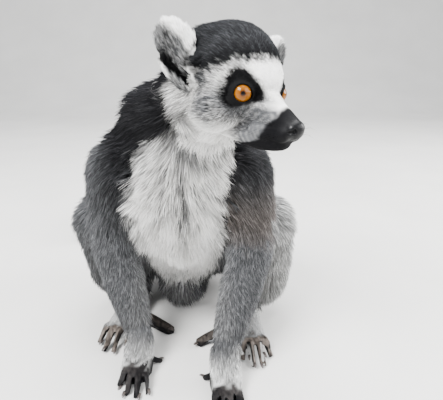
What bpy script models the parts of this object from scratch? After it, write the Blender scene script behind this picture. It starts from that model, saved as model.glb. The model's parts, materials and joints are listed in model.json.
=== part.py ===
"""Ring-tailed lemur, life size, sitting upright with its hands on the ground and its head turned to its left.

Metres, +Z up. The animal faces -Y and its left side is +X. Every solid is drawn to the tips of the coat.
The body is modelled whole from lofted limbs and ellipsoids, fused and smoothed, and then parted into its
members by closed cutting shapes, which leave a gap of PART_GAP between neighbours.
"""

import math

import bmesh
import bpy
from mathutils import Euler, Matrix, Vector

# ---------------------------------------------------------------- driving sizes
PART_GAP = 0.0003
FLOOR_SINK = 0.0022          # how far the soft underside is cut flat where it rests
CORE_VOXEL = 0.0028
FINE_VOXEL = 0.0015
CORE_SMOOTHING = 9
FINE_SMOOTHING = 2
WHOLE_TRIANGLES = 2850

# Trunk, from rump to neck: centre, half width, half depth in the animal's mid plane.
TRUNK = [
    (Vector((0.000, 0.106, 0.040)), 0.054, 0.046),
    (Vector((0.000, 0.084, 0.067)), 0.078, 0.062),
    (Vector((0.000, 0.050, 0.102)), 0.090, 0.072),
    (Vector((0.000, 0.014, 0.138)), 0.092, 0.070),
    (Vector((0.000, -0.010, 0.172)), 0.092, 0.064),
    (Vector((0.001, -0.030, 0.206)), 0.077, 0.054),
    (Vector((0.004, -0.042, 0.238)), 0.060, 0.042),
]
NECK = [
    (Vector((0.004, -0.042, 0.226)), 0.056, 0.044),
    (Vector((0.020, -0.070, 0.250)), 0.047, 0.043),
    (Vector((0.038, -0.098, 0.264)), 0.041, 0.039),
]
# Ruff of long fur from the throat down the breast, in front of the trunk.
BREAST = [
    (Vector((0.026, -0.088, 0.234)), 0.034, 0.026),
    (Vector((0.010, -0.074, 0.200)), 0.046, 0.030),
    (Vector((0.003, -0.062, 0.160)), 0.048, 0.032),
    (Vector((0.001, -0.048, 0.124)), 0.042, 0.030),
]

# Lower belly, resting on the ground between the thighs: centre and radii.
LAP_CENTRE = Vector((-0.006, 0.032, 0.042))
LAP_RADII = Vector((0.034, 0.040, 0.044))

# Head: its own frame has the same axes as the body's, with the origin between the ears.
HEAD_CENTRE = Vector((0.052, -0.122, 0.272))
HEAD_TURN = math.radians(42)
HEAD_NOD = math.radians(4)
HEAD_TILT = math.radians(4)

# Limbs by side: joint centres, and radii that reach the tips of the coat.
ARM = {
    "right": {
        "shoulder": Vector((-0.058, -0.036, 0.188)),
        "elbow": Vector((-0.066, -0.050, 0.104)),
        "wrist": Vector((-0.040, -0.082, 0.030)),
    },
    "left": {
        "shoulder": Vector((0.058, -0.038, 0.186)),
        "elbow": Vector((0.068, -0.060, 0.104)),
        "wrist": Vector((0.044, -0.106, 0.030)),
    },
}
LEG = {
    "right": {
        "hip": Vector((-0.053, 0.074, 0.062)),
        "knee": Vector((-0.088, -0.010, 0.126)),
        "ankle": Vector((-0.064, 0.026, 0.026)),
    },
    "left": {
        "hip": Vector((0.053, 0.074, 0.062)),
        "knee": Vector((0.088, -0.018, 0.126)),
        "ankle": Vector((0.067, 0.004, 0.026)),
    },
}
SIDES = {"right": -1, "left": 1}

# Each digit: where it leaves the palm and where its tip rests, as (sideways to the little finger, forwards),
# then its radius and how far it arches.
HAND_DIGITS = {
    "thumb": ((-0.0080, 0.0110), (-0.0205, 0.0040), 0.0037, 0.0010),
    "index": ((-0.0088, 0.0260), (-0.0150, 0.0475), 0.0037, 0.0030),
    "middle": ((-0.0030, 0.0285), (-0.0058, 0.0530), 0.0038, 0.0035),
    "ring": ((0.0032, 0.0280), (0.0038, 0.0505), 0.0038, 0.0035),
    "little": ((0.0085, 0.0240), (0.0132, 0.0390), 0.0036, 0.0030),
}
FOOT_DIGITS = {
    "big": ((-0.0090, 0.0380), (-0.0545, 0.0590), 0.0072, 0.0012),
    "second": ((-0.0095, 0.0620), (-0.0120, 0.0880), 0.0039, 0.0060),
    "third": ((-0.0025, 0.0650), (-0.0025, 0.0990), 0.0040, 0.0070),
    "fourth": ((0.0050, 0.0640), (0.0075, 0.0990), 0.0040, 0.0070),
    "fifth": ((0.0115, 0.0600), (0.0170, 0.0860), 0.0039, 0.0060),
}
HAND_HEADING = {"right": math.radians(2), "left": math.radians(4)}
FOOT_HEADING = {"right": math.radians(6), "left": math.radians(5)}
KNUCKLE_HEIGHT = 0.0090
PAD_HEIGHT = 0.0020

# Tail: laid on the ground behind, curving round to the animal's right.
TAIL_LENGTH = 0.56
TAIL_ROOT = Vector((0.0, 0.118, 0.034))
TAIL_START = 0.030           # how far down the tail its first length begins
TAIL_LENGTHS = 6
TAIL_RADIUS = 0.0235

# Where the body is parted: how far the cutting shapes stand off, and the planes (point, direction) of the neck.
LIMB_MARGIN = 0.0035
PAW_MARGIN = 0.0022
EAR_MARGIN = 0.0016
HEAD_CUT = (Vector((0.036, -0.086, 0.252)), Vector((0.35, -0.60, 0.72)))
NECK_CUT = (Vector((0.010, -0.056, 0.232)), Vector((0.22, -0.45, 0.86)))


# ---------------------------------------------------------------- small helpers
def clear_scene():
    for old in list(bpy.data.objects):
        bpy.data.objects.remove(old)


def new_object(name, mesh_or_bmesh):
    mesh = mesh_or_bmesh
    if isinstance(mesh, bmesh.types.BMesh):
        mesh = bpy.data.meshes.new(name)
        mesh_or_bmesh.to_mesh(mesh)
        mesh_or_bmesh.free()
    made = bpy.data.objects.new(name, mesh)
    bpy.context.scene.collection.objects.link(made)
    return made


def apply_modifiers(thing):
    bpy.context.view_layer.update()
    graph = bpy.context.evaluated_depsgraph_get()
    baked = bpy.data.meshes.new_from_object(thing.evaluated_get(graph))
    thing.modifiers.clear()
    old = thing.data
    thing.data = baked
    bpy.data.meshes.remove(old)
    return thing


def triangle_count(thing):
    return sum(len(face.vertices) - 2 for face in thing.data.polygons)


def join(name, things):
    whole = bmesh.new()
    for thing in things:
        thing.data.transform(thing.matrix_world)
        whole.from_mesh(thing.data)
        bpy.data.objects.remove(thing)
    return new_object(name, whole)


def spline(values, t):
    """Catmull-Rom through values (numbers or vectors), t from 0 to len - 1."""
    i = min(int(t), len(values) - 2)
    f = t - i
    p1, p2 = values[i], values[i + 1]
    p0 = values[i - 1] if i > 0 else p1 + (p1 - p2)
    p3 = values[i + 2] if i + 2 < len(values) else p2 + (p2 - p1)
    return 0.5 * (2 * p1 + (p2 - p0) * f + (2 * p0 - 5 * p1 + 4 * p2 - p3) * f * f
                  + (3 * p1 - p0 - 3 * p2 + p3) * f * f * f)


def loft(stations, side=Vector((1, 0, 0)), grow=0.0, sides=20, per_span=4, dome=1.0):
    """A closed bmesh through elliptical sections (centre, half width along side, half depth), with domed ends."""
    bm = bmesh.new()
    centres = [s[0] for s in stations]
    wide = [s[1] + grow for s in stations]
    deep = [s[2] + grow for s in stations]
    steps = (len(stations) - 1) * per_span
    path = [spline(centres, k / per_span) for k in range(steps + 1)]
    rings = []
    for k, centre in enumerate(path):
        ahead = (path[min(k + 1, steps)] - path[max(k - 1, 0)]).normalized()
        across = (side - ahead * side.dot(ahead)).normalized()
        rings.append((centre, ahead, across, spline(wide, k / per_span), spline(deep, k / per_span)))
    cap_steps = (60, 30)
    first, last = rings[0], rings[-1]
    sections = [(first, -math.sin(math.radians(a)), math.cos(math.radians(a))) for a in cap_steps]
    sections += [(ring, 0.0, 1.0) for ring in rings]
    sections += [(last, math.sin(math.radians(a)), math.cos(math.radians(a))) for a in reversed(cap_steps)]
    loops = []
    for (centre, ahead, across, a, b), shift, shrink in sections:
        up = ahead.cross(across)
        middle = centre + ahead * shift * dome * min(a, b)
        loops.append([
            bm.verts.new(middle + across * a * shrink * math.cos(2 * math.pi * n / sides)
                         + up * b * shrink * math.sin(2 * math.pi * n / sides))
            for n in range(sides)
        ])
    for low, high in zip(loops, loops[1:]):
        for n in range(sides):
            m = (n + 1) % sides
            bm.faces.new((low[n], low[m], high[m], high[n]))
    for loop, (centre, ahead, across, a, b), way in ((loops[0], first, -1), (loops[-1], last, 1)):
        pole = bm.verts.new(centre + ahead * way * dome * min(a, b))
        for n in range(sides):
            bm.faces.new((loop[n], loop[(n + 1) % sides], pole))
    bmesh.ops.recalc_face_normals(bm, faces=bm.faces)
    return bm


def ball(centre, radii, turn=Matrix.Identity(3), segments=24):
    """A closed ellipsoid with its axes turned by a rotation matrix."""
    bm = bmesh.new()
    place = Matrix.Translation(centre) @ turn.to_4x4() @ Matrix.Diagonal((*radii, 1))
    bmesh.ops.create_uvsphere(bm, u_segments=segments, v_segments=segments // 2, radius=1, matrix=place)
    return bm


def fuse(name, things, voxel, smoothing):
    """One closed skin over everything joined, smoothed so that the forms run into each other."""
    whole = join(name, things)
    remesh = whole.modifiers.new("fuse", "REMESH")
    remesh.mode = "VOXEL"
    remesh.voxel_size = voxel
    soft = whole.modifiers.new("soften", "SMOOTH")
    soft.factor = 0.5
    soft.iterations = smoothing
    return apply_modifiers(whole)


def boolean(thing, other, operation):
    cut = thing.modifiers.new("cut", "BOOLEAN")
    cut.operation = operation
    cut.object = other
    return apply_modifiers(thing)


def keep_largest(thing):
    """Drops stray slivers that a cut leaves beside the main body."""
    bm = bmesh.new()
    bm.from_mesh(thing.data)
    bm.verts.ensure_lookup_table()
    unseen = set(bm.verts)
    islands = []
    while unseen:
        stack = [unseen.pop()]
        island = set(stack)
        while stack:
            for edge in stack.pop().link_edges:
                for vert in edge.verts:
                    if vert in unseen:
                        unseen.discard(vert)
                        island.add(vert)
                        stack.append(vert)
        islands.append(island)
    if len(islands) > 1:
        main = max(islands, key=lambda verts: sum(f.calc_area() for v in verts for f in v.link_faces))
        bmesh.ops.delete(bm, geom=[v for v in bm.verts if v not in main], context="VERTS")
        bm.to_mesh(thing.data)
    bm.free()
    return thing


# ---------------------------------------------------------------- head
def head_pose():
    turn = Euler((0, 0, HEAD_TURN)).to_matrix() @ Euler((HEAD_NOD, 0, 0)).to_matrix()
    turn = turn @ Euler((0, HEAD_TILT, 0)).to_matrix()
    return Matrix.Translation(HEAD_CENTRE) @ turn.to_4x4()


def in_head(bm):
    bm.transform(head_pose())
    return bm


def head_forms(grow=0.0):
    """Cranium, cheeks, brow, muzzle and jaw, in the head's frame: forward is -Y."""
    g = Vector((grow, grow, grow))
    forms = [
        ball(Vector((0, 0.006, 0.0110)), Vector((0.0350, 0.0380, 0.0345)) + g),
        ball(Vector((0, -0.008, 0.0040)), Vector((0.0300, 0.0290, 0.0270)) + g),
    ]
    for way in SIDES.values():
        forms.append(ball(Vector((way * 0.0165, -0.002, -0.0165)), Vector((0.0210, 0.0240, 0.0190)) + g))
        forms.append(ball(Vector((way * 0.0130, -0.0195, 0.0075)), Vector((0.0120, 0.0105, 0.0095)) + g))
    muzzle = [
        (Vector((0, -0.014, -0.0075)), 0.0215, 0.0200),
        (Vector((0, -0.028, -0.0120)), 0.0165, 0.0165),
        (Vector((0, -0.040, -0.0175)), 0.0125, 0.0130),
        (Vector((0, -0.051, -0.0215)), 0.0100, 0.0105),
        (Vector((0, -0.0585, -0.0225)), 0.0078, 0.0078),
    ]
    jaw = [
        (Vector((0, -0.004, -0.0270)), 0.0180, 0.0110),
        (Vector((0, -0.026, -0.0315)), 0.0128, 0.0090),
        (Vector((0, -0.040, -0.0330)), 0.0095, 0.0072),
        (Vector((0, -0.050, -0.0325)), 0.0068, 0.0052),
    ]
    forms.append(loft(muzzle, grow=grow))
    forms.append(loft(jaw, grow=grow))
    return [in_head(form) for form in forms]


# Ears, in the head's frame with X outwards: root, tip and the way the hollow opens. The left ear is
# swivelled further forwards than the right.
EAR_ROOT = Vector((0.0290, 0.010, 0.001))
EAR_TIP = {"right": Vector((0.0500, 0.022, 0.0390)), "left": Vector((0.0535, 0.012, 0.0375))}
EAR_OPENING = {"right": Vector((0.36, -0.93, 0.0)), "left": Vector((0.06, -0.99, 0.0))}
EAR_HALF_WIDTH = 0.0178
EAR_CUP_DEPTH = 0.0105
EAR_THICKNESS = 0.0052


def ear_form(side, grow=0.0):
    """A cupped leaf that opens forwards and outwards, from root to rounded tip."""
    rows, columns = 12, 12
    outwards = Vector((SIDES[side], 1, 1))
    root = EAR_ROOT * outwards
    tip = EAR_TIP[side] * outwards
    along = tip - root
    opening = EAR_OPENING[side] * outwards
    opening = (opening - along.normalized() * opening.dot(along.normalized())).normalized()
    across = along.normalized().cross(opening)
    bm = bmesh.new()
    grid = []
    for r in range(rows + 1):
        t = r / rows
        half = (EAR_HALF_WIDTH + grow) * (0.55 + 0.9 * t) * math.sqrt(max(0.0, 1 - t ** 3.2)) * 0.92
        middle = root + along * (t * (1 + grow / along.length))
        row = []
        for c in range(columns + 1):
            s = 2 * c / columns - 1
            lift = EAR_CUP_DEPTH * (abs(s) ** 2.2 - 0.5) * math.sin(math.pi * min(1, 0.30 + 0.62 * t))
            row.append(bm.verts.new(middle + across * half * s + opening * lift))
        grid.append(row)
    for r in range(rows):
        for c in range(columns):
            bm.faces.new((grid[r][c], grid[r][c + 1], grid[r + 1][c + 1], grid[r + 1][c]))
    bmesh.ops.remove_doubles(bm, verts=bm.verts, dist=0.0001)
    bm.transform(head_pose())
    shell = new_object("ear_shell", bm)
    wall = shell.modifiers.new("wall", "SOLIDIFY")
    wall.thickness = EAR_THICKNESS + 2 * grow
    wall.offset = 0
    return apply_modifiers(shell)


EYE_CENTRE = Vector((0.0170, -0.0228, -0.0025))
EYE_RADIUS = 0.0080


def eye_place(way):
    return head_pose() @ Vector((way * EYE_CENTRE.x, EYE_CENTRE.y, EYE_CENTRE.z))


# ---------------------------------------------------------------- limbs
def upper_arm(side, grow=0.0):
    a = ARM[side]
    middle = a["shoulder"].lerp(a["elbow"], 0.5) + Vector((SIDES[side] * 0.003, 0.004, 0))
    return loft([(a["shoulder"], 0.0350, 0.0390), (middle, 0.0300, 0.0340), (a["elbow"], 0.0245, 0.0270)],
                grow=grow)


def forearm(side, grow=0.0):
    a = ARM[side]
    middle = a["elbow"].lerp(a["wrist"], 0.45)
    return loft([(a["elbow"], 0.0240, 0.0265), (middle, 0.0218, 0.0212), (a["wrist"], 0.0150, 0.0136)],
                grow=grow)


def thigh(side, grow=0.0):
    leg = LEG[side]
    middle = leg["hip"].lerp(leg["knee"], 0.5) + Vector((SIDES[side] * 0.004, 0, 0.004))
    return loft([(leg["hip"], 0.0420, 0.0500), (middle, 0.0400, 0.0460), (leg["knee"], 0.0340, 0.0340)],
                grow=grow)


def shank(side, grow=0.0):
    """The lower leg, whose long fur spreads outwards almost to the ground."""
    leg = LEG[side]
    middle = leg["knee"].lerp(leg["ankle"], 0.50) + Vector((SIDES[side] * 0.010, 0.008, 0))
    skirt = leg["knee"].lerp(leg["ankle"], 0.80) + Vector((SIDES[side] * 0.016, 0.004, 0))
    return loft([(leg["knee"], 0.0330, 0.0330), (middle, 0.0355, 0.0345), (skirt, 0.0320, 0.0310),
                 (leg["ankle"], 0.0205, 0.0205)], grow=grow)


# ---------------------------------------------------------------- hands and feet
def digit(root, tip, radius, arch, grow=0.0):
    """A finger or toe that arches up over its knuckle and rests on its pad."""
    knuckle = root.lerp(tip, 0.45) + Vector((0, 0, arch))
    last = root.lerp(tip, 0.78) + Vector((0, 0, arch * 0.35))
    stations = [(root, radius * 1.10, radius * 1.10), (knuckle, radius * 1.02, radius * 1.02),
                (last, radius * 0.92, radius * 0.90), (tip, radius * 0.86, radius * 0.72)]
    return loft(stations, side=Vector((0.3, 1, 0)).cross(Vector((0, 0, 1))), grow=grow, sides=12, per_span=3)


def on_ground(root, side, heading, sideways, forwards, height):
    """A point beside a wrist or ankle: sideways is outwards, forwards is the way the limb points."""
    way = SIDES[side]
    ahead = Vector((way * math.sin(heading), -math.cos(heading), 0))
    out = Vector((way * math.cos(heading), math.sin(heading), 0))
    place = root + ahead * forwards + out * sideways
    place.z = height
    return place


def hand_forms(side, grow=0.0):
    wrist, heading = ARM[side]["wrist"], HAND_HEADING[side]
    palm = [
        (wrist, 0.0142, 0.0130),
        (on_ground(wrist, side, heading, 0, 0.010, 0.0165), 0.0150, 0.0130),
        (on_ground(wrist, side, heading, 0, 0.022, 0.0078), 0.0156, 0.0092),
        (on_ground(wrist, side, heading, 0, 0.033, 0.0058), 0.0130, 0.0065),
    ]
    forms = [loft(palm, grow=grow)]
    for (root, tip, radius, arch) in HAND_DIGITS.values():
        forms.append(digit(on_ground(wrist, side, heading, *root, KNUCKLE_HEIGHT),
                           on_ground(wrist, side, heading, *tip, PAD_HEIGHT), radius, arch, grow))
    return forms


def foot_forms(side, grow=0.0):
    ankle, heading = LEG[side]["ankle"], FOOT_HEADING[side]
    sole = [
        (on_ground(ankle, side, heading, 0, -0.016, 0.0118), 0.0125, 0.0125),
        (on_ground(ankle, side, heading, 0, 0.006, 0.0155), 0.0145, 0.0160),
        (on_ground(ankle, side, heading, 0, 0.034, 0.0120), 0.0150, 0.0120),
        (on_ground(ankle, side, heading, 0, 0.062, 0.0095), 0.0155, 0.0088),
    ]
    forms = [loft(sole, grow=grow)]
    for (root, tip, radius, arch) in FOOT_DIGITS.values():
        forms.append(digit(on_ground(ankle, side, heading, *root, KNUCKLE_HEIGHT),
                           on_ground(ankle, side, heading, *tip, PAD_HEIGHT + radius * 0.2), radius, arch, grow))
    return forms


# ---------------------------------------------------------------- tail
def tail_point(s):
    """The tail's centreline: down from the rump, straight back, then a steady curve to the right."""
    steps = 80
    place = TAIL_ROOT.copy()
    for k in range(steps):
        u = s * (k + 0.5) / steps
        turn = math.radians(34) - math.radians(236) * max(0.0, (u - 0.05) / (TAIL_LENGTH - 0.05)) ** 1.1
        place += Vector((math.sin(turn), math.cos(turn), 0)) * (s / steps)
    drop = TAIL_ROOT.z - TAIL_RADIUS + FLOOR_SINK
    place.z = TAIL_RADIUS - FLOOR_SINK + drop * max(0.0, 1 - s / 0.07) ** 2
    return place


def tail_radius(s):
    share = s / TAIL_LENGTH
    swell = 0.80 + 0.20 * min(1.0, share / 0.25)
    return TAIL_RADIUS * swell * (1.0 if share < 0.93 else 1 - 0.35 * ((share - 0.93) / 0.07) ** 2)


def tail_length(low, high, grow=0.0, dome=1.0, sides=18, per_span=3):
    spans = max(2, round((high - low) / 0.03))
    stations = []
    for k in range(spans + 1):
        s = low + (high - low) * k / spans
        r = tail_radius(s)
        stations.append((tail_point(s), r, r))
    return loft(stations, side=Vector((0, 0, 1)), grow=grow, sides=sides, per_span=per_span, dome=dome)


# ---------------------------------------------------------------- the whole animal
def loosen(thing, triangles):
    """Thins the mesh to about this many triangles, sparing the head, hands and feet."""
    coarse = thing.vertex_groups.new(name="coarse")
    for vert in thing.data.vertices:
        place = vert.co
        near_head = (place - HEAD_CENTRE).length < 0.075
        near_paws = place.z < 0.026 and place.y < 0.0
        weight = 0.8 if near_paws else 0.85 if near_head else 1.0
        coarse.add([vert.index], weight, "REPLACE")
    thin = thing.modifiers.new("thin", "DECIMATE")
    thin.vertex_group = "coarse"
    thin.ratio = triangles / triangle_count(thing)
    apply_modifiers(thing)
    thing.vertex_groups.clear()
    return thing


def whole_body():
    core = [loft(TRUNK), loft(NECK), loft(BREAST), ball(LAP_CENTRE, LAP_RADII)] + head_forms()
    for side in SIDES:
        core += [upper_arm(side), forearm(side), thigh(side), shank(side)]
    body = fuse("whole", [new_object("form", bm) for bm in core], CORE_VOXEL, CORE_SMOOTHING)
    fine = [ear_form(side) for side in SIDES]
    for side in SIDES:
        fine += [new_object("form", bm) for bm in hand_forms(side) + foot_forms(side)]
    fine.append(new_object("form", tail_length(0, TAIL_LENGTH)))
    body = fuse("whole", [body] + fine, FINE_VOXEL, FINE_SMOOTHING)
    loosen(body, WHOLE_TRIANGLES)
    floor = bmesh.new()
    bmesh.ops.create_cube(floor, size=2, matrix=Matrix.Translation((0, 0, -1)))
    ground = new_object("ground", floor)
    boolean(body, ground, "DIFFERENCE")
    bpy.data.objects.remove(ground)
    return body


# ---------------------------------------------------------------- parting into members
def everything_beyond(point, normal, reach=0.5):
    """A block whose near face passes through the point, square to the normal."""
    bm = bmesh.new()
    bmesh.ops.create_cube(bm, size=2 * reach)
    away = normal.normalized()
    turn = Vector((0, 0, 1)).rotation_difference(away).to_matrix().to_4x4()
    bm.transform(Matrix.Translation(point + away * reach) @ turn)
    return new_object("beyond", bm)


def one_region(things, voxel, triangles):
    """Joins solids into one clean closed cutting shape of about this many triangles."""
    region = fuse("region", things, voxel, 1)
    thin = region.modifiers.new("thin", "DECIMATE")
    thin.ratio = triangles / triangle_count(region)
    return apply_modifiers(region)


def paw_region(forms):
    return one_region([new_object("form", bm) for bm in forms], 0.0025, 220)


def limb_region(form):
    return one_region([new_object("form", form)], 0.0040, 80)


def part_off(body, name, region):
    """Splits what lies in the region from the body, leaving PART_GAP between the two."""
    piece = new_object(name, body.data.copy())
    boolean(piece, region, "INTERSECT")
    swell = region.modifiers.new("swell", "DISPLACE")
    swell.strength = PART_GAP * 1.25
    swell.mid_level = 0
    apply_modifiers(region)
    boolean(body, region, "DIFFERENCE")
    bpy.data.objects.remove(region)
    keep_largest(piece)
    keep_largest(body)
    return piece


def part_members(body):
    pieces = []
    for side, way in SIDES.items():
        eye = ball(eye_place(way), Vector((1, 1, 1)) * EYE_RADIUS, segments=14)
        socket = ball(eye_place(way), Vector((1, 1, 1)) * (EYE_RADIUS + PART_GAP * 1.6), segments=14)
        pieces.append(new_object("eye_" + side, eye))
        hollow = new_object("hollow", socket)
        boolean(body, hollow, "DIFFERENCE")
        bpy.data.objects.remove(hollow)
    for side in SIDES:
        pieces.append(part_off(body, "ear_" + side, one_region([ear_form(side, EAR_MARGIN)], 0.0016, 110)))
    pieces.append(part_off(body, "head", everything_beyond(*HEAD_CUT)))
    for side in SIDES:
        pieces.append(part_off(body, "hand_" + side, paw_region(hand_forms(side, PAW_MARGIN))))
        pieces.append(part_off(body, "foot_" + side, paw_region(foot_forms(side, PAW_MARGIN))))
    for side in SIDES:
        pieces.append(part_off(body, "forearm_" + side, limb_region(forearm(side, LIMB_MARGIN))))
        pieces.append(part_off(body, "shank_" + side, limb_region(shank(side, LIMB_MARGIN))))
    for side in SIDES:
        pieces.append(part_off(body, "upper_arm_" + side, limb_region(upper_arm(side, LIMB_MARGIN))))
        pieces.append(part_off(body, "thigh_" + side, limb_region(thigh(side, LIMB_MARGIN))))
    pieces.append(part_off(body, "neck", everything_beyond(*NECK_CUT)))
    step = (TAIL_LENGTH - TAIL_START) / TAIL_LENGTHS
    for k in reversed(range(TAIL_LENGTHS)):
        low = TAIL_START + step * k
        region = new_object("form", tail_length(low, low + step * 1.3, 0.006, 0.02, sides=8, per_span=1))
        pieces.append(part_off(body, "tail_%d" % (k + 1), region))
    body.name = "trunk"
    pieces.append(body)
    return pieces


# ---------------------------------------------------------------- colours
COAT_GREY = ("coat_grey", (0.300, 0.305, 0.325), 0.90)
COAT_WHITE = ("coat_white", (0.760, 0.750, 0.730), 0.90)
COAT_DARK = ("coat_dark", (0.085, 0.085, 0.095), 0.90)
LEATHER = ("leather_dark", (0.040, 0.038, 0.040), 0.60)
EYE_AMBER = ("eye_amber", (0.640, 0.260, 0.030), 0.08)


def look_of(name):
    if name.startswith("eye"):
        return EYE_AMBER
    if name.startswith("ear"):
        return COAT_WHITE
    if name.startswith(("hand", "foot")):
        return LEATHER
    if name in ("neck", "tail_2", "tail_4", "tail_6"):
        return COAT_DARK
    if name in ("tail_1", "tail_3", "tail_5", "head"):
        return COAT_WHITE
    return COAT_GREY


def finish(piece):
    label, colour, roughness = look_of(piece.name)
    material = bpy.data.materials.new(label + "_" + piece.name)
    material.use_nodes = True
    shader = material.node_tree.nodes["Principled BSDF"]
    shader.inputs["Base Color"].default_value = (*colour, 1)
    shader.inputs["Roughness"].default_value = roughness
    shader.inputs["Metallic"].default_value = 0
    piece.data.materials.clear()
    piece.data.materials.append(material)
    piece.data.name = piece.name
    piece.data.polygons.foreach_set("use_smooth", [True] * len(piece.data.polygons))
    piece.data.set_sharp_from_angle(angle=math.radians(55))


def centre_on_floor(pieces):
    """Moves everything so that the origin is below the middle of the whole, at the level it rests on."""
    corners = [vert.co for piece in pieces for vert in piece.data.vertices]
    low = [min(c[axis] for c in corners) for axis in range(3)]
    high = [max(c[axis] for c in corners) for axis in range(3)]
    shift = Vector((-(low[0] + high[0]) / 2, -(low[1] + high[1]) / 2, -low[2]))
    for piece in pieces:
        piece.data.transform(Matrix.Translation(shift))
    return shift


def main():
    clear_scene()
    pieces = part_members(whole_body())
    shift = centre_on_floor(pieces)
    for piece in pieces:
        finish(piece)
    print("moved by", tuple(round(value, 5) for value in shift))


main()
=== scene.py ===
"""Ring-tailed lemur: one skin, eyes, claws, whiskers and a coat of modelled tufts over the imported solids.

Metres, +Z up. The animal faces -Y and its left side is +X. The solids reach the tips of the coat, so the skin
lies inside them by the coat's depth, and the tufts fill the space between.
"""

import json
import math

import bmesh
import bpy
import numpy as np
from bpy.props import FloatProperty, FloatVectorProperty, IntProperty
from mathutils import Euler, Matrix, Vector
from mathutils.bvhtree import BVHTree
from mathutils.kdtree import KDTree

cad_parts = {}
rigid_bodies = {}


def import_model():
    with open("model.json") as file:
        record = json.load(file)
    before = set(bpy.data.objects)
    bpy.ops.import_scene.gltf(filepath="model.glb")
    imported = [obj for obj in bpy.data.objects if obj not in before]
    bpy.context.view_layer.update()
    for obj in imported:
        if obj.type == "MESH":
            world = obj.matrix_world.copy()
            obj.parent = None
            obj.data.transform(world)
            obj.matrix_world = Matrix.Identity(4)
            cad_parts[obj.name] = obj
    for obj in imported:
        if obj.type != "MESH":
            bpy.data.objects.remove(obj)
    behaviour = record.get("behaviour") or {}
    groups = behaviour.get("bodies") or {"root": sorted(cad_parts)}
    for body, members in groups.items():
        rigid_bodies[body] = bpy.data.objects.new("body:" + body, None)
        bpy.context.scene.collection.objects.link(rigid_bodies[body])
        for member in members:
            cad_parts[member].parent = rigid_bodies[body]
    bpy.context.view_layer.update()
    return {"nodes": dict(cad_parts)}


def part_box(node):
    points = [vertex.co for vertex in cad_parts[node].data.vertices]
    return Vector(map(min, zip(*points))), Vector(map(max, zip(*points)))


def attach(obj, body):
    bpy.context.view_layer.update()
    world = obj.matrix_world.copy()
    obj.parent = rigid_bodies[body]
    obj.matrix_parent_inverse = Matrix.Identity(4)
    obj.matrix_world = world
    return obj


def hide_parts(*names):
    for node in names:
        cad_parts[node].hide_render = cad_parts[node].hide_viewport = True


bl_info = {
    "name": "Ring-tailed lemur",
    "version": (1, 0, 0),
    "blender": (4, 5, 0),
    "location": "View3D > Sidebar > Lemur",
    "description": "Skin, eyes, claws and coat of a life-size ring-tailed lemur",
    "category": "Object",
}

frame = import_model()
SIDES = {"right": -1, "left": 1}
TAIL_NODES = ["tail_%d" % k for k in range(1, 7)]
FLESH = sorted(n for n in frame["nodes"] if not n.startswith("eye"))
MM = 0.001
SKIN_FLOOR = 0.0002     # how far above the ground the skin of the body stops
COAT_FLOOR = 0.0003     # the same for paws and tufts


# ---------------------------------------------------------------- settings
def linear(hex_colour):
    """sRGB hex to linear RGB."""
    parts = [int(hex_colour[i:i + 2], 16) / 255 for i in (1, 3, 5)]
    return tuple(c / 12.92 if c <= 0.04045 else ((c + 0.055) / 1.055) ** 2.4 for c in parts)


def length(name, text, default):
    return FloatProperty(name=name, description=text, default=default, min=0, max=0.1, subtype="DISTANCE",
                         unit="LENGTH")


def colour(name, text, hex_colour):
    return FloatVectorProperty(name=name, description=text, default=linear(hex_colour), size=3, min=0, max=1,
                               subtype="COLOR")


class LemurFace(bpy.types.PropertyGroup):
    turn: FloatProperty(name="Turn", description="How far the head is turned to its left",
                        default=math.radians(42), subtype="ANGLE", unit="ROTATION")
    nod: FloatProperty(name="Nod", description="How far the nose dips",
                       default=math.radians(4), subtype="ANGLE", unit="ROTATION")
    tilt: FloatProperty(name="Tilt", description="How far the crown leans to its left",
                        default=math.radians(4), subtype="ANGLE", unit="ROTATION")
    gaze: FloatProperty(name="Gaze", description="Angle between an eye's axis and straight ahead",
                        default=math.radians(38), subtype="ANGLE", unit="ROTATION")
    eyeball: length("Eyeball radius", "Radius of the ball behind the lids", 0.0080)
    aperture: length("Lid opening radius", "Half the opening between the lids", 0.0061)


class LemurCoat(bpy.types.PropertyGroup):
    thickness: FloatProperty(name="Thickness", description="Width of a body tuft", default=0.00062,
                             subtype="DISTANCE", unit="LENGTH", precision=5)
    density: FloatProperty(name="Density", description="Share of the full number of tufts", default=1.0,
                           min=0.02, max=1.5)
    seed: IntProperty(name="Seed", description="Seed of the tufts' scatter", default=7)
    clump: FloatProperty(name="Clumping", description="How far the tips draw together", default=0.32,
                         min=0, max=1)
    softness: FloatProperty(name="Softness", description="How far a tuft is shaded as the coat's surface",
                            default=0.55, min=0, max=1)


class LemurColours(bpy.types.PropertyGroup):
    white: colour("White", "Face, ears, breast and pale rings", "#FAF9F6")
    crown: colour("Crown", "Cap of the head", "#2A2B2D")
    mantle: colour("Mantle", "Nape, neck sides and front of the shoulders", "#151517")
    back: colour("Back", "Back, flanks and haunches", "#5E5F61")
    limb: colour("Limbs", "Outer arms", "#57585A")
    brown: colour("Brown", "Tinge on the outer shoulder", "#655A52")
    pale: colour("Pale grey", "Lower limbs and belly edges", "#747474")
    cuff: colour("Cuff", "Backs of the hands and feet", "#A9A9A7")
    black: colour("Black", "Eye patches and dark rings", "#0A0A0B")
    leather: colour("Leather", "Muzzle, palms and digits", "#08080A")


# ---------------------------------------------------------------- mesh helpers
def deselect():
    for thing in bpy.context.selected_objects:
        thing.select_set(False)


def make_active(thing):
    deselect()
    thing.select_set(True)
    bpy.context.view_layer.objects.active = thing


def link(name, mesh):
    thing = bpy.data.objects.new(name, mesh)
    bpy.context.scene.collection.objects.link(thing)
    return thing


def from_bmesh(name, bm):
    mesh = bpy.data.meshes.new(name)
    bm.to_mesh(mesh)
    bm.free()
    return link(name, mesh)


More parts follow.
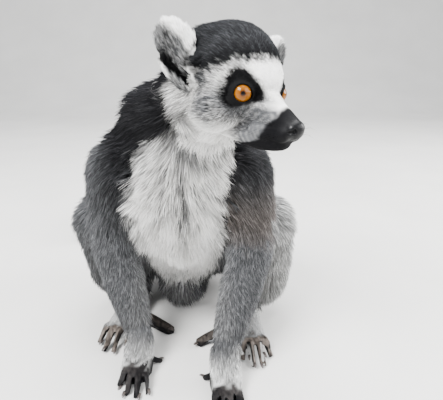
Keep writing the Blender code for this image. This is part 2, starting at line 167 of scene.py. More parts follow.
def modify(thing, kind, **settings):
    """Adds a modifier with its settings and applies it."""
    make_active(thing)
    modifier = thing.modifiers.new(kind.lower(), kind)
    for key, value in settings.items():
        setattr(modifier, key, value)
    bpy.ops.object.modifier_apply(modifier=modifier.name)
    return thing


def join(name, things):
    deselect()
    for thing in things:
        thing.select_set(True)
    bpy.context.view_layer.objects.active = things[0]
    if len(things) > 1:
        bpy.ops.object.join()
    whole = bpy.context.view_layer.objects.active
    whole.name = name
    whole.data.name = name
    return whole


def fuse(name, things, voxel, rounds):
    """Joins overlapping forms into one closed skin and softens it."""
    whole = join(name, things)
    modify(whole, "REMESH", mode="VOXEL", voxel_size=voxel, use_smooth_shade=True)
    return modify(whole, "SMOOTH", factor=0.5, iterations=rounds)


def cut_away(thing, cutter):
    modify(thing, "BOOLEAN", operation="DIFFERENCE", object=cutter, solver="EXACT")
    bpy.data.objects.remove(cutter)


def close_tube(bm, loops):
    """Faces between the loops of a tube and over its two ends, as one form."""
    sides = len(loops[0])
    for low, high in zip(loops, loops[1:]):
        for n in range(sides):
            m = (n + 1) % sides
            bm.faces.new((low[n], low[m], high[m], high[n]))
    bm.faces.new(loops[0])
    bm.faces.new(loops[-1])
    bmesh.ops.recalc_face_normals(bm, faces=bm.faces)
    return from_bmesh("form", bm)


def read(items, key, width, number):
    """A value of each item as a row of width numbers."""
    flat = np.empty(len(items) * width, number)
    items.foreach_get(key, flat)
    return flat.reshape(-1, width)


def points_of(mesh):
    return read(mesh.vertices, "co", 3, np.float32).astype(float)


def normals_of(mesh):
    return read(mesh.vertices, "normal", 3, np.float32).astype(float)


def edges_of(mesh):
    return read(mesh.edges, "vertices", 2, np.int32)


def triangles_of(mesh):
    mesh.calc_loop_triangles()
    return read(mesh.loop_triangles, "vertices", 3, np.int32)


def move_points(mesh, points):
    mesh.vertices.foreach_set("co", points.astype(np.float32).ravel())
    mesh.update()


def tree_of(places):
    """A search tree that gives the number of the nearest place."""
    tree = KDTree(len(places))
    for n, place in enumerate(places):
        tree.insert(place, n)
    tree.balance()
    return tree


def unit(vectors):
    return vectors / np.maximum(np.linalg.norm(vectors, axis=-1, keepdims=True), 1e-12)


def spread(field, edges, rounds):
    """Evens a per-vertex field out over the mesh, each round a step towards the neighbours' mean."""
    a, b = edges.T
    flat = field.reshape(len(field), -1)
    count = np.bincount(a, minlength=len(flat)) + np.bincount(b, minlength=len(flat))
    for _ in range(rounds):
        total = np.empty_like(flat)
        for k in range(flat.shape[1]):
            total[:, k] = np.bincount(a, flat[b, k], len(flat)) + np.bincount(b, flat[a, k], len(flat))
        flat = 0.5 * flat + 0.5 * total / np.maximum(count, 1)[:, None]
    return flat.reshape(field.shape)


def ramp(values, low, high):
    """0 below low, 1 above high, with a soft rise between."""
    t = np.clip((values - low) / (high - low), 0, 1)
    return t * t * (3 - 2 * t)


def mix(a, b, share):
    """Rows of a moved towards b by each row's share."""
    return a + (b - a) * np.asarray(share)[:, None]


def wander(points, scale, seed):
    """Smooth noise from -1 to 1, made of a few crossed waves."""
    rng = np.random.default_rng(seed)
    total = np.zeros(len(points))
    for _ in range(7):
        wave = rng.normal(size=3)
        total += np.sin(points @ (wave * 2 * math.pi / scale / 1.7) + rng.uniform(0, 6.28))
    return total / 4


# ---------------------------------------------------------------- head forms (mm, in the head's frame)
EYE_FORWARD, EYE_OUT, EYE_DOWN = 22.8, 17.0, 2.5
SKULL_CENTRE, SKULL_RADII = (0, 6, 10.5), (32.2, 35.8, 33.2)


def centre(node):
    """The middle of a solid's box."""
    low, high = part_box(node)
    return (low + high) / 2


def head_matrix():
    """The head's own axes (x to its left, -y forward, z up), placed by where the eyes sit."""
    face = bpy.context.scene.lemur_face
    turn = Euler((0, 0, face.turn)).to_matrix() @ Euler((face.nod, 0, 0)).to_matrix()
    turn = turn @ Euler((0, face.tilt, 0)).to_matrix()
    middle = (centre("eye_left") + centre("eye_right")) / 2 + turn @ Vector((0, EYE_FORWARD, EYE_DOWN)) * MM
    return Matrix.Translation(middle) @ turn.to_4x4()


def in_head(points):
    """Row-frame metres to head-frame millimetres."""
    matrix = np.array(head_matrix().inverted())
    return (points @ matrix[:3, :3].T + matrix[:3, 3]) * 1000


def gaze_axis(way):
    """The way an eye looks: outwards by the gaze's angle and a little up."""
    angle = bpy.context.scene.lemur_face.gaze
    return Vector((way * math.sin(angle), -math.cos(angle), 0.03)).normalized()


def eye_centre(way):
    return Vector((way * EYE_OUT, -EYE_FORWARD, -EYE_DOWN))


def ball(centre_mm, radii, tilt=None, segments=32):
    bm = bmesh.new()
    turn = (tilt or Matrix.Identity(3)).to_4x4()
    place = Matrix.Translation(centre_mm) @ turn @ Matrix.Diagonal((*radii, 1))
    bmesh.ops.create_uvsphere(bm, u_segments=segments, v_segments=segments // 2, radius=1, matrix=place)
    return from_bmesh("form", bm)


def spline(values, t):
    """Catmull-Rom through values, t from 0 to len - 1."""
    i = min(int(t), len(values) - 2)
    f = t - i
    p1, p2 = values[i], values[i + 1]
    p0 = values[i - 1] if i > 0 else 2 * p1 - p2
    p3 = values[i + 2] if i + 2 < len(values) else 2 * p2 - p1
    return 0.5 * (2 * p1 + (p2 - p0) * f + (2 * p0 - 5 * p1 + 4 * p2 - p3) * f * f
                  + (3 * p1 - p0 - 3 * p2 + p3) * f ** 3)


def tapered(stations, sides=24, per_span=5):
    """A closed form through sections (centre, half width, half height) in millimetres, with domed ends."""
    steps = (len(stations) - 1) * per_span
    data = [np.array((*s[0], s[1], s[2]), float) for s in stations]
    rows = [spline(data, k / per_span) for k in range(steps + 1)]
    bm = bmesh.new()
    loops = []
    sections = [(0, -0.87, 0.5)] + [(k, 0, 1) for k in range(steps + 1)] + [(steps, 0.87, 0.5)]
    for k, shift, shrink in sections:
        ahead = Vector(rows[min(k + 1, steps)][:3] - rows[max(k - 1, 0)][:3]).normalized()
        across = Vector((1, 0, 0)) - ahead * ahead.x
        across = across.normalized() if across.length > 0.2 else Vector((0, 0, 1))
        up = ahead.cross(across)
        a, b = rows[k][3:]
        middle = Vector(rows[k][:3]) + ahead * shift * min(a, b)
        ring = [middle + across * a * shrink * math.cos(t) + up * b * shrink * math.sin(t)
                for t in (2 * math.pi * n / sides for n in range(sides))]
        loops.append([bm.verts.new(p) for p in ring])
    return close_tube(bm, loops)


# Each ear: its root, tip and the way its hollow opens, with x outwards; the left is swivelled further forwards.
EAR_ROOT = (27.0, 8.0, -1.0)
EAR_TIP = {-1: (50.0, 22.0, 39.0), 1: (53.5, 12.0, 37.5)}
EAR_OPENING = {-1: (0.36, -0.93, 0), 1: (0.06, -0.99, 0)}


def ear_axes(way):
    """Root, direction to the tip, outward edge and opening of an ear, and its length, in the head's frame."""
    outwards = Vector((way, 1, 1))
    root, tip = Vector(EAR_ROOT) * outwards, Vector(EAR_TIP[way]) * outwards
    along = (tip - root).normalized()
    opening = Vector(EAR_OPENING[way]) * outwards
    opening = (opening - along * opening.dot(along)).normalized()
    return root, along, along.cross(opening) * way, opening, (tip - root).length


def on_ear(q):
    """How far up the ear (0 root, 1 tip) and towards its outer edge (mm)."""
    t, outward = np.zeros((2, len(q)))
    for way in SIDES.values():
        root, along, edge, _, size = ear_axes(way)
        here = q[:, 0] * way > 0
        d = q[here] - np.array(root)
        t[here], outward[here] = d @ along / size, d @ edge
    return t, outward


def slit_distance(t, outward):
    """Distance (mm) on the ear's face from the dark cleft that runs along its outer edge."""
    knots = np.array(((0.00, 4.0), (0.33, 11.0), (0.58, 14.5)))
    height = np.clip(t, knots[0, 0], knots[-1, 0])
    middle = np.interp(height, knots[:, 0], knots[:, 1])
    return np.hypot(outward - middle, (t - height) * 48)


def ear_leaf(way, thickness):
    """A cupped leaf from the side of the skull to a rounded tip, its deep cleft near the outer edge."""
    root, along, edge, opening, size = ear_axes(way)
    rows, columns = 26, 26
    turning = 0.525         # the share of the width at which the flat inner part turns into the deep outer one
    bm = bmesh.new()
    grid = []
    for r in range(rows + 1):
        t = r / rows
        close = math.sqrt(max(0.0, 1 - t ** 3.4))
        inner, outer = -(7.0 + 5.5 * t) * close, (12.0 + 7.0 * math.sin(2.2 * t)) * close
        line = []
        for c in range(columns + 1):
            s = c / columns
            place = inner + (outer - inner) * s
            deep = 9.0 if s > turning else 2.5
            cup = deep * (abs(2 * s - 1.05) ** 2.0 - 0.45) * math.sin(math.pi * min(1, 0.34 + 0.60 * t))
            near = float(slit_distance(np.array([t]), np.array([place]))[0])
            cup -= 4.5 * math.exp(-(near / 3.0) ** 2)
            line.append(bm.verts.new(root + along * size * t * 0.90 + edge * place + opening * cup))
        grid.append(line)
    for r in range(rows):
        for c in range(columns):
            bm.faces.new((grid[r][c], grid[r][c + 1], grid[r + 1][c + 1], grid[r + 1][c]))
    bmesh.ops.remove_doubles(bm, verts=bm.verts, dist=0.05)
    leaf = from_bmesh("form", bm)
    return modify(leaf, "SOLIDIFY", thickness=thickness, offset=0)


def head_skin():
    """Skull, cheeks, brows, muzzle, lips, nose, lids and ears as one skin, in the row frame."""
    face = bpy.context.scene.lemur_face
    forms = [ball(SKULL_CENTRE, SKULL_RADII), ball((0, -8, 4), (27.6, 27.6, 26.0)),
             ball((0, 14, -6), (26, 24, 24))]
    muzzle = [((0, -12, -6.5), 18.8, 18.6), ((0, -27, -11.5), 14.6, 15.2), ((0, -39, -16.5), 11.2, 12.4),
              ((0, -50, -20.4), 9.2, 10.2), ((0, -57.0, -22.0), 7.4, 8.2)]
    jaw = [((0, 0, -26), 16, 10.5), ((0, -26, -31.8), 12.6, 8.4), ((0, -40, -32.8), 9.4, 6.8),
           ((0, -50.5, -32.2), 6.8, 5.0)]
    forms += [tapered(muzzle), tapered(jaw), ball((0, -60.0, -20.8), (6.2, 4.8, 5.8))]
    # On each side: jowl, brow, cheekbone, wing of the nose, upper lip in two, the lids' swelling and the ear.
    for way in SIDES.values():
        forms.append(ball((way * 16, -1, -14), (16.5, 20, 15.0)))
        forms.append(ball((way * 12.5, -18.5, 9.0), (11.0, 9.5, 6.5)))
        forms.append(ball((way * 17.5, -17.5, -7.8), (9.0, 9.0, 6.5)))
        forms.append(ball((way * 3.6, -58.6, -21.6), (4.2, 4.8, 5.0)))
        forms.append(ball((way * 5.6, -51.0, -25.0), (5.4, 8.6, 6.4)))
        forms.append(ball((way * 7.6, -37.0, -26.0), (6.0, 13.0, 7.0)))
        forms.append(ball(eye_centre(way), (1000 * face.eyeball + 1.7,) * 3))
        forms.append(ear_leaf(way, 1.9))
    head = fuse("head_skin", forms, 0.95, 6)
    carve_face(head)
    modify(head, "REMESH", mode="VOXEL", voxel_size=0.72, use_smooth_shade=True)
    modify(head, "SMOOTH", factor=0.5, iterations=2)
    head.data.transform(Matrix.Scale(MM, 4))
    head.data.transform(head_matrix())
    return head


def lid_cutter(way):
    """A plug shaped like the open lids: round, with a short point towards the nose."""
    face = bpy.context.scene.lemur_face
    axis = gaze_axis(way)
    up = (Vector((0, 0, 1)) - axis * axis.z).normalized()
    inward = up.cross(axis) * way
    if inward.x * way > 0:
        inward = -inward
    inner, sides = math.radians(-14), 48
    bm = bmesh.new()
    loops = []
    for depth, flare in ((2.0, 0.86), (7.2, 1.0), (9.0, 1.06), (11.0, 1.3), (20.0, 1.8)):
        loop = []
        for n in range(sides):
            t = 2 * math.pi * n / sides
            point = max(0, math.cos(t - inner)) ** 7
            r = 1000 * face.aperture * flare * (1 + 0.30 * point)
            loop.append(bm.verts.new(eye_centre(way) + axis * depth
                                     + inward * r * math.cos(t) + up * r * 0.97 * math.sin(t)))
        loops.append(loop)
    return close_tube(bm, loops)


def carve_face(head):
    """Opens the lids and nostrils, and draws the mouth and the lip furrow."""
    tree = BVHTree.FromObject(head, bpy.context.evaluated_depsgraph_get())
    cutters = []
    for way in SIDES.values():
        cutters.append(lid_cutter(way))
        nostril = Euler((math.radians(-18), 0, math.radians(34 * way))).to_matrix()
        cutters.append(ball((way * 5.4, -63.0, -21.8), (1.6, 3.0, 2.1), nostril))
        cutters.append(ball((way * 7.4, -60.6, -22.8), (1.8, 3.2, 1.1), nostril))
        mouth = []
        for t in np.linspace(0, 1, 12):
            height = -28.4 + 5.0 * t ** 2
            ray_from = Vector((way * 40 * math.sin(0.12 + 1.25 * t), -30 - 50 * math.cos(1.3 * t), height))
            target = Vector((0, -30 + 8 * t, height))
            hit = tree.ray_cast(ray_from, (target - ray_from).normalized())[0]
            if hit:
                mouth.append((tuple(hit), 0.55, 0.38))
        cutters.append(tapered(mouth, sides=10, per_span=2))
    cutters.append(tapered([((0, -66.2, -24.0), 0.5, 0.7), ((0, -65.0, -27.5), 0.5, 0.7)], sides=8))
    for cutter in cutters:
        cut_away(head, cutter)


# ---------------------------------------------------------------- body skin
# For each solid: coat depth and hair length (mm), and the width of a tuft against a body tuft.
COAT = {
    "head": (8.5, 10, 0.75), "ear": (1.2, 9, 0.70), "neck": (9.5, 22, 0.95), "trunk": (10.5, 24, 1.0),
    "upper_arm": (7.5, 14, 0.80), "forearm": (5.0, 8.5, 0.62), "hand": (0.7, 4.0, 0.55),
    "thigh": (9.5, 21, 1.0), "shank": (8.0, 17, 0.95), "foot": (0.9, 5.0, 0.60), "tail": (9.0, 15, 0.90),
}


def kind(node):
    """The row of COAT that a solid belongs to."""
    for name in COAT:
        if node.startswith(name):
            return name
    raise ValueError(node)


def kinds_of(names):
    """The kind of each index in FLESH."""
    return np.array([kind(n) for n in FLESH])[names]


def nearest_nodes(points):
    """For each point, the index in FLESH of the solid with the closest face."""
    places, owners = [], []
    for k, name in enumerate(FLESH):
        for poly in frame["nodes"][name].data.polygons:
            places.append(poly.center)
            owners.append(k)
    tree = tree_of(places)
    return np.array([owners[tree.find(p)[1]] for p in points])


def keep_skull(names, p):
    """The skull beside an ear counts as head, so that the ear's white hair grows on the ear alone."""
    q = in_head(p) - np.array(SKULL_CENTRE)
    on_skull = np.linalg.norm(q / np.array(SKULL_RADII), axis=1) < 1.07
    ears = np.isin(names, [FLESH.index(n) for n in FLESH if kind(n) == "ear"])
    return np.where(ears & on_skull, FLESH.index("head"), names)


def solid_copy(name, swell):
    """A copy of a solid, swollen a little so that it meets its neighbours."""
    thing = link("copy", frame["nodes"][name].data.copy())
    make_active(thing)
    modify(thing, "WELD", merge_threshold=0.00001)
    return modify(thing, "DISPLACE", strength=swell, mid_level=0)


def cut_digits(thing, name):
    """Leaves the palm or sole of a paw, without its digits."""
    low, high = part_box(name)
    bm = bmesh.new()
    bm.from_mesh(thing.data)
    front = Vector((0, low.y + (0.040 if kind(name) == "hand" else 0.052), 0))
    bmesh.ops.bisect_plane(bm, geom=bm.verts[:] + bm.edges[:] + bm.faces[:], plane_co=front,
                           plane_no=(0, -1, 0), clear_outer=True)
    bmesh.ops.holes_fill(bm, edges=[e for e in bm.edges if e.is_boundary])
    bm.to_mesh(thing.data)
    bm.free()


def paw_skin(name):
    """One paw with its digits, finely meshed, drawn in by the little coat it has and more towards the limb."""
    paw = solid_copy(name, 0.0001)
    part_digits(paw, name)
    modify(paw, "REMESH", mode="VOXEL", voxel_size=0.0008, use_smooth_shade=True)
    modify(paw, "SMOOTH", factor=0.5, iterations=3)
    mesh = paw.data
    points = points_of(mesh)
    normals = unit(spread(normals_of(mesh), edges_of(mesh), 1))
    depth = 0.35 + 2.6 * ramp(points[:, 2], 0.014, 0.030)
    points = points - normals * depth[:, None] * MM
    points[:, 2] = np.maximum(points[:, 2], COAT_FLOOR)
    move_points(mesh, points)
    return modify(paw, "DECIMATE", ratio=0.55)


def body_skin():
    """Everything but the head: the solids joined, softened, and drawn in by the coat's depth."""
    copies = []
    for name in FLESH:
        if kind(name) == "ear":
            continue
        thing = solid_copy(name, 0.0005)
        if kind(name) in ("hand", "foot"):
            cut_digits(thing, name)
        copies.append(thing)
    body = fuse("body_skin", copies, 0.0016, 4)
    mesh = body.data
    points, edges = points_of(mesh), edges_of(mesh)
    names = nearest_nodes(points)
    kinds = kinds_of(names)
    paws = np.isin(kinds, ("hand", "foot"))
    rounds = spread(np.where(paws, 0.0, 1.0), edges, 6)
    even = spread(points, edges, 28)
    points = mix(points, even, rounds)
    depth = np.array([COAT[k][0] for k in kinds])
    breast = ramp(-points[:, 1], 0.150, 0.185) * ramp(points[:, 2], 0.09, 0.13)
    depth = depth + 4.0 * (breast * np.isin(kinds, ("trunk", "neck")))
    # Wrists and ankles keep some coat on the solids of the paws.
    depth = np.where(paws, 1.6 + 1.6 * ramp(points[:, 2], 0.016, 0.030), depth)
    # In front of the cheeks the modelled face takes over, so this part stays well inside it.
    q = in_head(points)
    depth = np.where(kinds == "head", depth + 3.0 * ramp(-q[:, 1], 10, 30), depth)
    depth = spread(depth, edges, 12)
    move_points(mesh, points)
    normals = unit(spread(normals_of(mesh), edges, 3))
    points = points - normals * depth[:, None] * MM
    points[:, 2] = np.maximum(points[:, 2], SKIN_FLOOR)
    move_points(mesh, points)
    return body


def build_skin():
    """Body, head and paws as one closed skin."""
    body, head = body_skin(), head_skin()
    thin_out(body, 0.42)
    for part in [head] + [paw_skin(name) for name in FLESH if kind(name) in ("hand", "foot")]:
        modify(body, "BOOLEAN", operation="UNION", object=part, solver="MANIFOLD")
        bpy.data.objects.remove(part)
    body.name = body.data.name = "skin"
    return modify(body, "TRIANGULATE")


def thin_out(thing, ratio):
    """Thins broad furred parts, sparing hands and feet."""
    group = thing.vertex_groups.new(name="broad")
    kinds = kinds_of(nearest_nodes(points_of(thing.data)))
    for index in np.nonzero(~np.isin(kinds, ("hand", "foot")))[0]:
        group.add([int(index)], 1.0, "REPLACE")
    modify(thing, "DECIMATE", ratio=ratio, vertex_group="broad")
    thing.vertex_groups.clear()


# ---------------------------------------------------------------- markings shared by skin and coat
PAW_BARENESS = 0.86             # how bare a digit is, where the wet nose is 1
TAIL_BANDS = 13.5               # pairs of dark and pale rings
TAIL_TIP = 0.044                # how much of the tail's end (m) is dark
# Colours of the digits' tops: their short pale hair, with a painted highlight from above.
DIGIT_TOP_HAIR_AND_HIGHLIGHT = {"foot": "#6F665F", "hand": "#2E2B2A"}
WHORL = (0.003, 0.187)          # middle of the breast's whorl: sideways from the trunk's middle, and height (m)


def tail_line():
    """Points down the middle of the tail, from its root to its tip."""
    places = [np.array(centre(n)) for n in TAIL_NODES]
    start = places[0] - (places[1] - places[0]) * 0.75
    low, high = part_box(TAIL_NODES[-1])
    end = places[-1] + (places[-1] - places[-2]) * 0.55
    knots = [start] + places + [end]
    return np.array([spline(knots, t) for t in np.linspace(0, len(knots) - 1, 120)])


def along_tail(points):
    """Distance down the tail (m), its direction at the nearest point of its middle line, and its length."""
    line = tail_line()
    steps = np.linalg.norm(np.diff(line, axis=0), axis=1)
    runs = np.concatenate([[0], np.cumsum(steps)])
    ways = unit(np.gradient(line, axis=0))
    tree = tree_of(line)
    index = np.array([tree.find(p)[1] for p in points], int)
    offset = np.einsum("ij,ij->i", points - line[index], ways[index])
    return runs[index] + offset, ways[index], runs[-1]


def behind(x, y):
    """1 on the back of the head and neck (mm), where no white reaches."""
    return ramp(y, 14, 24) * (1 - ramp(np.abs(x), 21, 28))


def ruff_edge(z):
    """How far back (mm) the white of the cheek runs at a height on the head."""
    return np.interp(z, (-40, -36, -30, -22, -12, 0, 12, 22), (-2, 5, 18, 27, 37, 44, 44, 28))


# The dark patch round an eye: its reach (mm) by direction (degrees, 0 towards the nose and 90 up).
PATCH = ((-180, 12.8), (-152, 13.6), (-123, 12.0), (-80, 7.8), (-35, 9.2), (-10, 16.4), (19, 13.8), (54, 12.8),
         (77, 14.8), (101, 17.6), (127, 15.4), (151, 13.2), (180, 12.8))


def head_markings(q, colours):
    """Colours on the head from head-frame millimetres, and how bare its skin is (1 on the wet nose)."""
    x, y, z = np.abs(q[:, 0]), q[:, 1], q[:, 2]
    wobble = wander(q, 9.0, 3) * 1.6
    fine = wander(q, 4.0, 8)
    result = np.tile(colours["white"], (len(q), 1))
    # Grey, wavy strokes on the cheek behind the eye, and a speckled grey cheek below it.
    strokes = ramp(np.sin((q[:, 2] * 0.9 + 2.2 * fine + 0.25 * y) * 1.1), 0.1, 0.9)
    ruff = ramp(y, -4, 8) * ramp(-z, -2, 8)
    result = mix(result, colours["pale"], np.clip(ruff * strokes * (0.08 + 0.26 * wander(q, 14.0, 31)), 0, 1))
    cheek = np.exp(-(((y + 6) / 12) ** 2 + ((z + 13) / 12) ** 2)) * ramp(x, 17, 25)
    result = mix(result, colours["limb"] * 0.8, np.clip(cheek * (0.95 + 0.45 * strokes), 0, 1))
    under = ramp(-y, 12, 22) * ramp(-z + 0.4 * wobble, 7, 12) * ramp(x, 3, 9)
    result = mix(result, colours["limb"] * 0.8, np.clip((0.95 + 0.15 * fine) * under, 0, 1))
    lips = ramp(-y, 22, 32) * ramp(-z, 15, 20) * ramp(x, 3, 7)
    result = mix(result, colours["limb"] * 0.9, 0.72 * lips)
    temple = np.exp(-(((y + 0.5 * (z - 2)) / 9) ** 2 + ((z - 1) / 15) ** 2)) * ramp(x, 19, 26)
    result = mix(result, colours["limb"] * 0.62, np.clip((1.22 + 0.6 * fine) * temple, 0, 1))
    # The cap's edge dips from the forehead to above the ear.
    cap_edge = np.interp(y, (-28, -24, -19, -15, -10, -5, 4, 12, 30, 50),
                         (18.5, 16.5, 14.5, 11.5, 9, 5, 6, 8, 12, 8))
    cap = ramp(z + wobble + 1.8 * fine - cap_edge, -4.0, 4.5)
    plush = (0.26 + 0.52 * ramp(z - cap_edge, 3, 17)) * (1 + 0.40 * wander(q, 4.0, 51))
    result = mix(result, colours["crown"][None] * plush[:, None], cap)
    # Dark nape behind the white ruff. The front of the neck, below the turned head, stays free of it.
    nape = ramp(y + 1.5 * wobble - ruff_edge(z), -2, 4) * ramp(z, -46, -36)
    nape = np.maximum(nape, behind(x, y))
    body_front = np.array(head_matrix().to_3x3().inverted() @ Vector((0, -1, 0)))
    neck_front = ramp(q @ body_front, -38, -28) * ramp(-z, 20, 28)
    neck_front = neck_front * (1 - ramp(-q[:, 0], 22, 28) * ramp(z, -40, -32))
    nape = nape * (1 - neck_front)
    result = mix(result, colours["mantle"], nape)
    for way in SIDES.values():
        axis = np.array(gaze_axis(way))
        up = unit(np.array((0, 0, 1.0)) - axis * axis[2])
        side = np.cross(up, axis)
        inward = side if side[0] * way < 0 else -side
        d = q - np.array(eye_centre(way))
        a, b = d @ inward, d @ up
        facing = ramp(d @ axis, -9, -2)
        angles, reaches = np.array(PATCH).T
        ring = np.hypot(a, b) / np.interp(np.degrees(np.arctan2(b, a)), angles, reaches)
        patch = (1 - ramp(ring + fine * 0.05, 0.84, 1.20)) * facing
        soft = (1 - ramp(ring, 0.9, 1.9)) * facing * ramp(-b, -4, 5)
        result = mix(result, colours["limb"], 0.85 * soft)
        result = mix(result, colours["black"], patch)
    # Dark muzzle: its edge runs from the bridge back and down to the corner of the mouth.
    snout_edge = np.interp(z, (-38, -34, -31, -26, -20.5, -18, -14, -9),
                           (-18, -31, -38, -41, -42.5, -46, -49, -49))
    snout = ramp(snout_edge - y - wobble * 0.5, -2.6, 2.2)
    result = mix(result, colours["leather"], snout)
    return result, snout * ramp(-y, 50, 60)


def body_markings(p, kinds, colours):
    """Colours of the body from row-frame metres and each point's kind of solid, and how bare its skin is."""
    middle = centre("trunk").x
    x = p[:, 0] - middle
    y, z = p[:, 1], p[:, 2]
    wobble = wander(p, 0.03, 5)
    result = np.tile(colours["back"], (len(p), 1))
    result = mix(result, colours["pale"], 0.35 * ramp(-z, -0.14, -0.05))
    arm = np.isin(kinds, ("upper_arm", "forearm"))
    result = mix(result, colours["limb"], 0.75 * arm)
    # Dark lower belly and groin: partly their dark hair, partly painted shade under the belly and between the thighs.
    groin = ramp(-z, -0.085, -0.06) * np.isin(kinds, ("trunk", "thigh", "shank"))
    groin = groin * ramp(-np.abs(x), -0.060, -0.045)
    strands = 0.80 + 0.22 * np.sin(x * 900 + 3 * wander(p, 0.02, 33))
    lap = mix(np.tile(colours["limb"] * 0.8, (len(p), 1)), colours["pale"], 0.8 * ramp(-x, -0.004, 0.006))
    result = mix(result, lap, np.clip(groin * strands, 0, 1) * ramp(-y, -0.02, 0.03))
    # Mantle: nape, neck sides and the front of the shoulders, fading down the arms.
    high = ramp(z + 0.010 * wobble - 0.018 * ramp(x, 0.045, 0.060), 0.105, 0.215)
    front = ramp(-y - 0.15 * (0.24 - z), 0.035, 0.120)
    rim = 0.45 * ramp(-x, 0.052, 0.080)
    result = mix(result, colours["mantle"], high * front * (0.96 - rim))
    tinge = (kinds == "upper_arm") * (x > 0) * ramp(-np.abs(z - 0.150), -0.045, 0)
    result = mix(result, colours["brown"], 0.45 * tinge)
    lower = (kinds == "forearm") * ramp(-z, -0.080, -0.030)
    result = mix(result, colours["pale"], 0.12 * lower)
    # White breast, throat and belly.
    heights = (0.045, 0.08, 0.108, 0.15, 0.183, 0.216, 0.243, 0.26)
    right_edge = np.interp(z, heights, (-0.030, -0.036, -0.040, -0.042, -0.039, -0.024, 0.006, 0.004))
    left_edge = np.interp(z, heights, (0.022, 0.034, 0.037, 0.037, 0.037, 0.037, 0.042, 0.048))
    ragged = 0.004 * wobble + 0.004 * wander(p, 0.012, 35)
    breast = ramp(x - right_edge + ragged, -0.007, 0.007) * ramp(left_edge - x + ragged, -0.007, 0.007)
    front_edge = np.interp(z, (0.15, 0.19, 0.235), (0.085, 0.125, 0.180))
    breast = breast * ramp(-y - front_edge, 0, 0.020) * ramp(z + ragged, 0.046, 0.060)
    breast = breast * ~np.isin(kinds, ("forearm", "hand", "foot", "shank"))
    result = mix(result, colours["white"], breast)
    tall = p * np.array((1.0, 1.0, 0.3))
    result = mix(result, colours["pale"], 0.30 * breast * ramp(wander(tall, 0.008, 41), 0.1, 0.8))
    # The parting below the whorl and the whorl's spokes are painted darker: painted shade where the hair parts and
    # between the whorl's locks.
    parting = np.exp(-((x - 0.004 + 0.002 * wobble) / 0.0026) ** 2) * ramp(z, 0.115, 0.150)
    parting = parting * ramp(-z, -0.192, -0.180)
    result = mix(result, colours["crown"], 0.85 * parting * breast)
    spoke = np.sin(9 * np.arctan2(x - WHORL[0], z - WHORL[1]) + 1.5 * wander(p, 0.02, 43))
    whorl = np.exp(-(np.hypot(x - WHORL[0], z - WHORL[1]) / 0.034) ** 2) * ramp(spoke, -0.2, 0.6)
    result = mix(result, colours["limb"] * 0.4, 0.94 * whorl * breast)
    # The throat is painted grey in streaks: partly its greyish hair, partly painted shade under the jaw and ruff.
    throat = ramp(z, 0.195, 0.225) * breast * (0.45 + 0.55 * ramp(wander(tall, 0.009, 9), -0.3, 0.5))
    result = mix(result, colours["limb"] * 0.7, 0.86 * throat)
    inner = np.isin(kinds, ("forearm", "upper_arm")) * ramp(-np.abs(x), -0.055, -0.042) * ramp(-z, -0.14, -0.10)
    result = mix(result, colours["pale"], 0.45 * inner)
    paw = np.isin(kinds, ("hand", "foot"))
    result = mix(result, colours["limb"], 0.75 * paw)
    hand_back = (kinds == "hand") * ramp(-z + 0.004 * wobble, -0.042, -0.012)
    result = mix(result, colours["cuff"] * 1.35, np.maximum(hand_back, 0.45 * (kinds == "foot")))
    # The left haunch is paler and the right one darker than the flanks, as if lit from the left.
    light_side = np.isin(kinds, ("thigh", "shank")) * ramp(x, 0.055, 0.105) * ramp(-y, -0.02, 0.10)
    result = mix(result, colours["cuff"], 0.60 * light_side)
    result = result * (1 - 0.22 * np.isin(kinds, ("thigh", "shank")) * ramp(-x, 0.05, 0.08))[:, None]
    bareness = np.zeros(len(p))
    for name in ("hand_left", "hand_right", "foot_left", "foot_right"):
        low, high_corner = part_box(name)
        hand = name.startswith("hand")
        inside = paw & (x + middle > low.x - 0.004) & (x + middle < high_corner.x + 0.004)
        inside &= (y > low.y - 0.003) & (y < high_corner.y)
        reach = 0.034 if hand else 0.036
        toes = ramp(-(y - low.y) + 0.005 * wander(p, 0.007, 37), -reach - 0.004, -reach + 0.009)
        bare = np.maximum(toes, ramp(-z, -0.009, -0.004))
        # The thumb or big toe is bare for all its length.
        from_inner = (high_corner.x - middle - x) if name.endswith("right") else (x + middle - low.x)
        thumb = 0.012 if hand else 0.042
        low_down = ramp(-z, -0.019, -0.013) if hand else 1
        bare = np.maximum(bare, ramp(-from_inner, -thumb - 0.003, -thumb + 0.003) * low_down)
        bareness = np.where(inside, PAW_BARENESS * bare, bareness)
    result = mix(result, colours["leather"], bareness / PAW_BARENESS)
    tail = kinds == "tail"
    if tail.any():
        run, _, total = along_tail(p[tail])
        wave = np.cos(2 * math.pi * np.maximum(total - run - TAIL_TIP, 0) / (total / TAIL_BANDS))
        dark = ramp(wave + 0.12 * wobble[tail], -0.62, -0.15)
        rings = mix(np.tile(colours["white"], (tail.sum(), 1)), colours["black"], dark)
        result[tail] = mix(result[tail], rings, ramp(run, 0.035, 0.060))
    return result, bareness


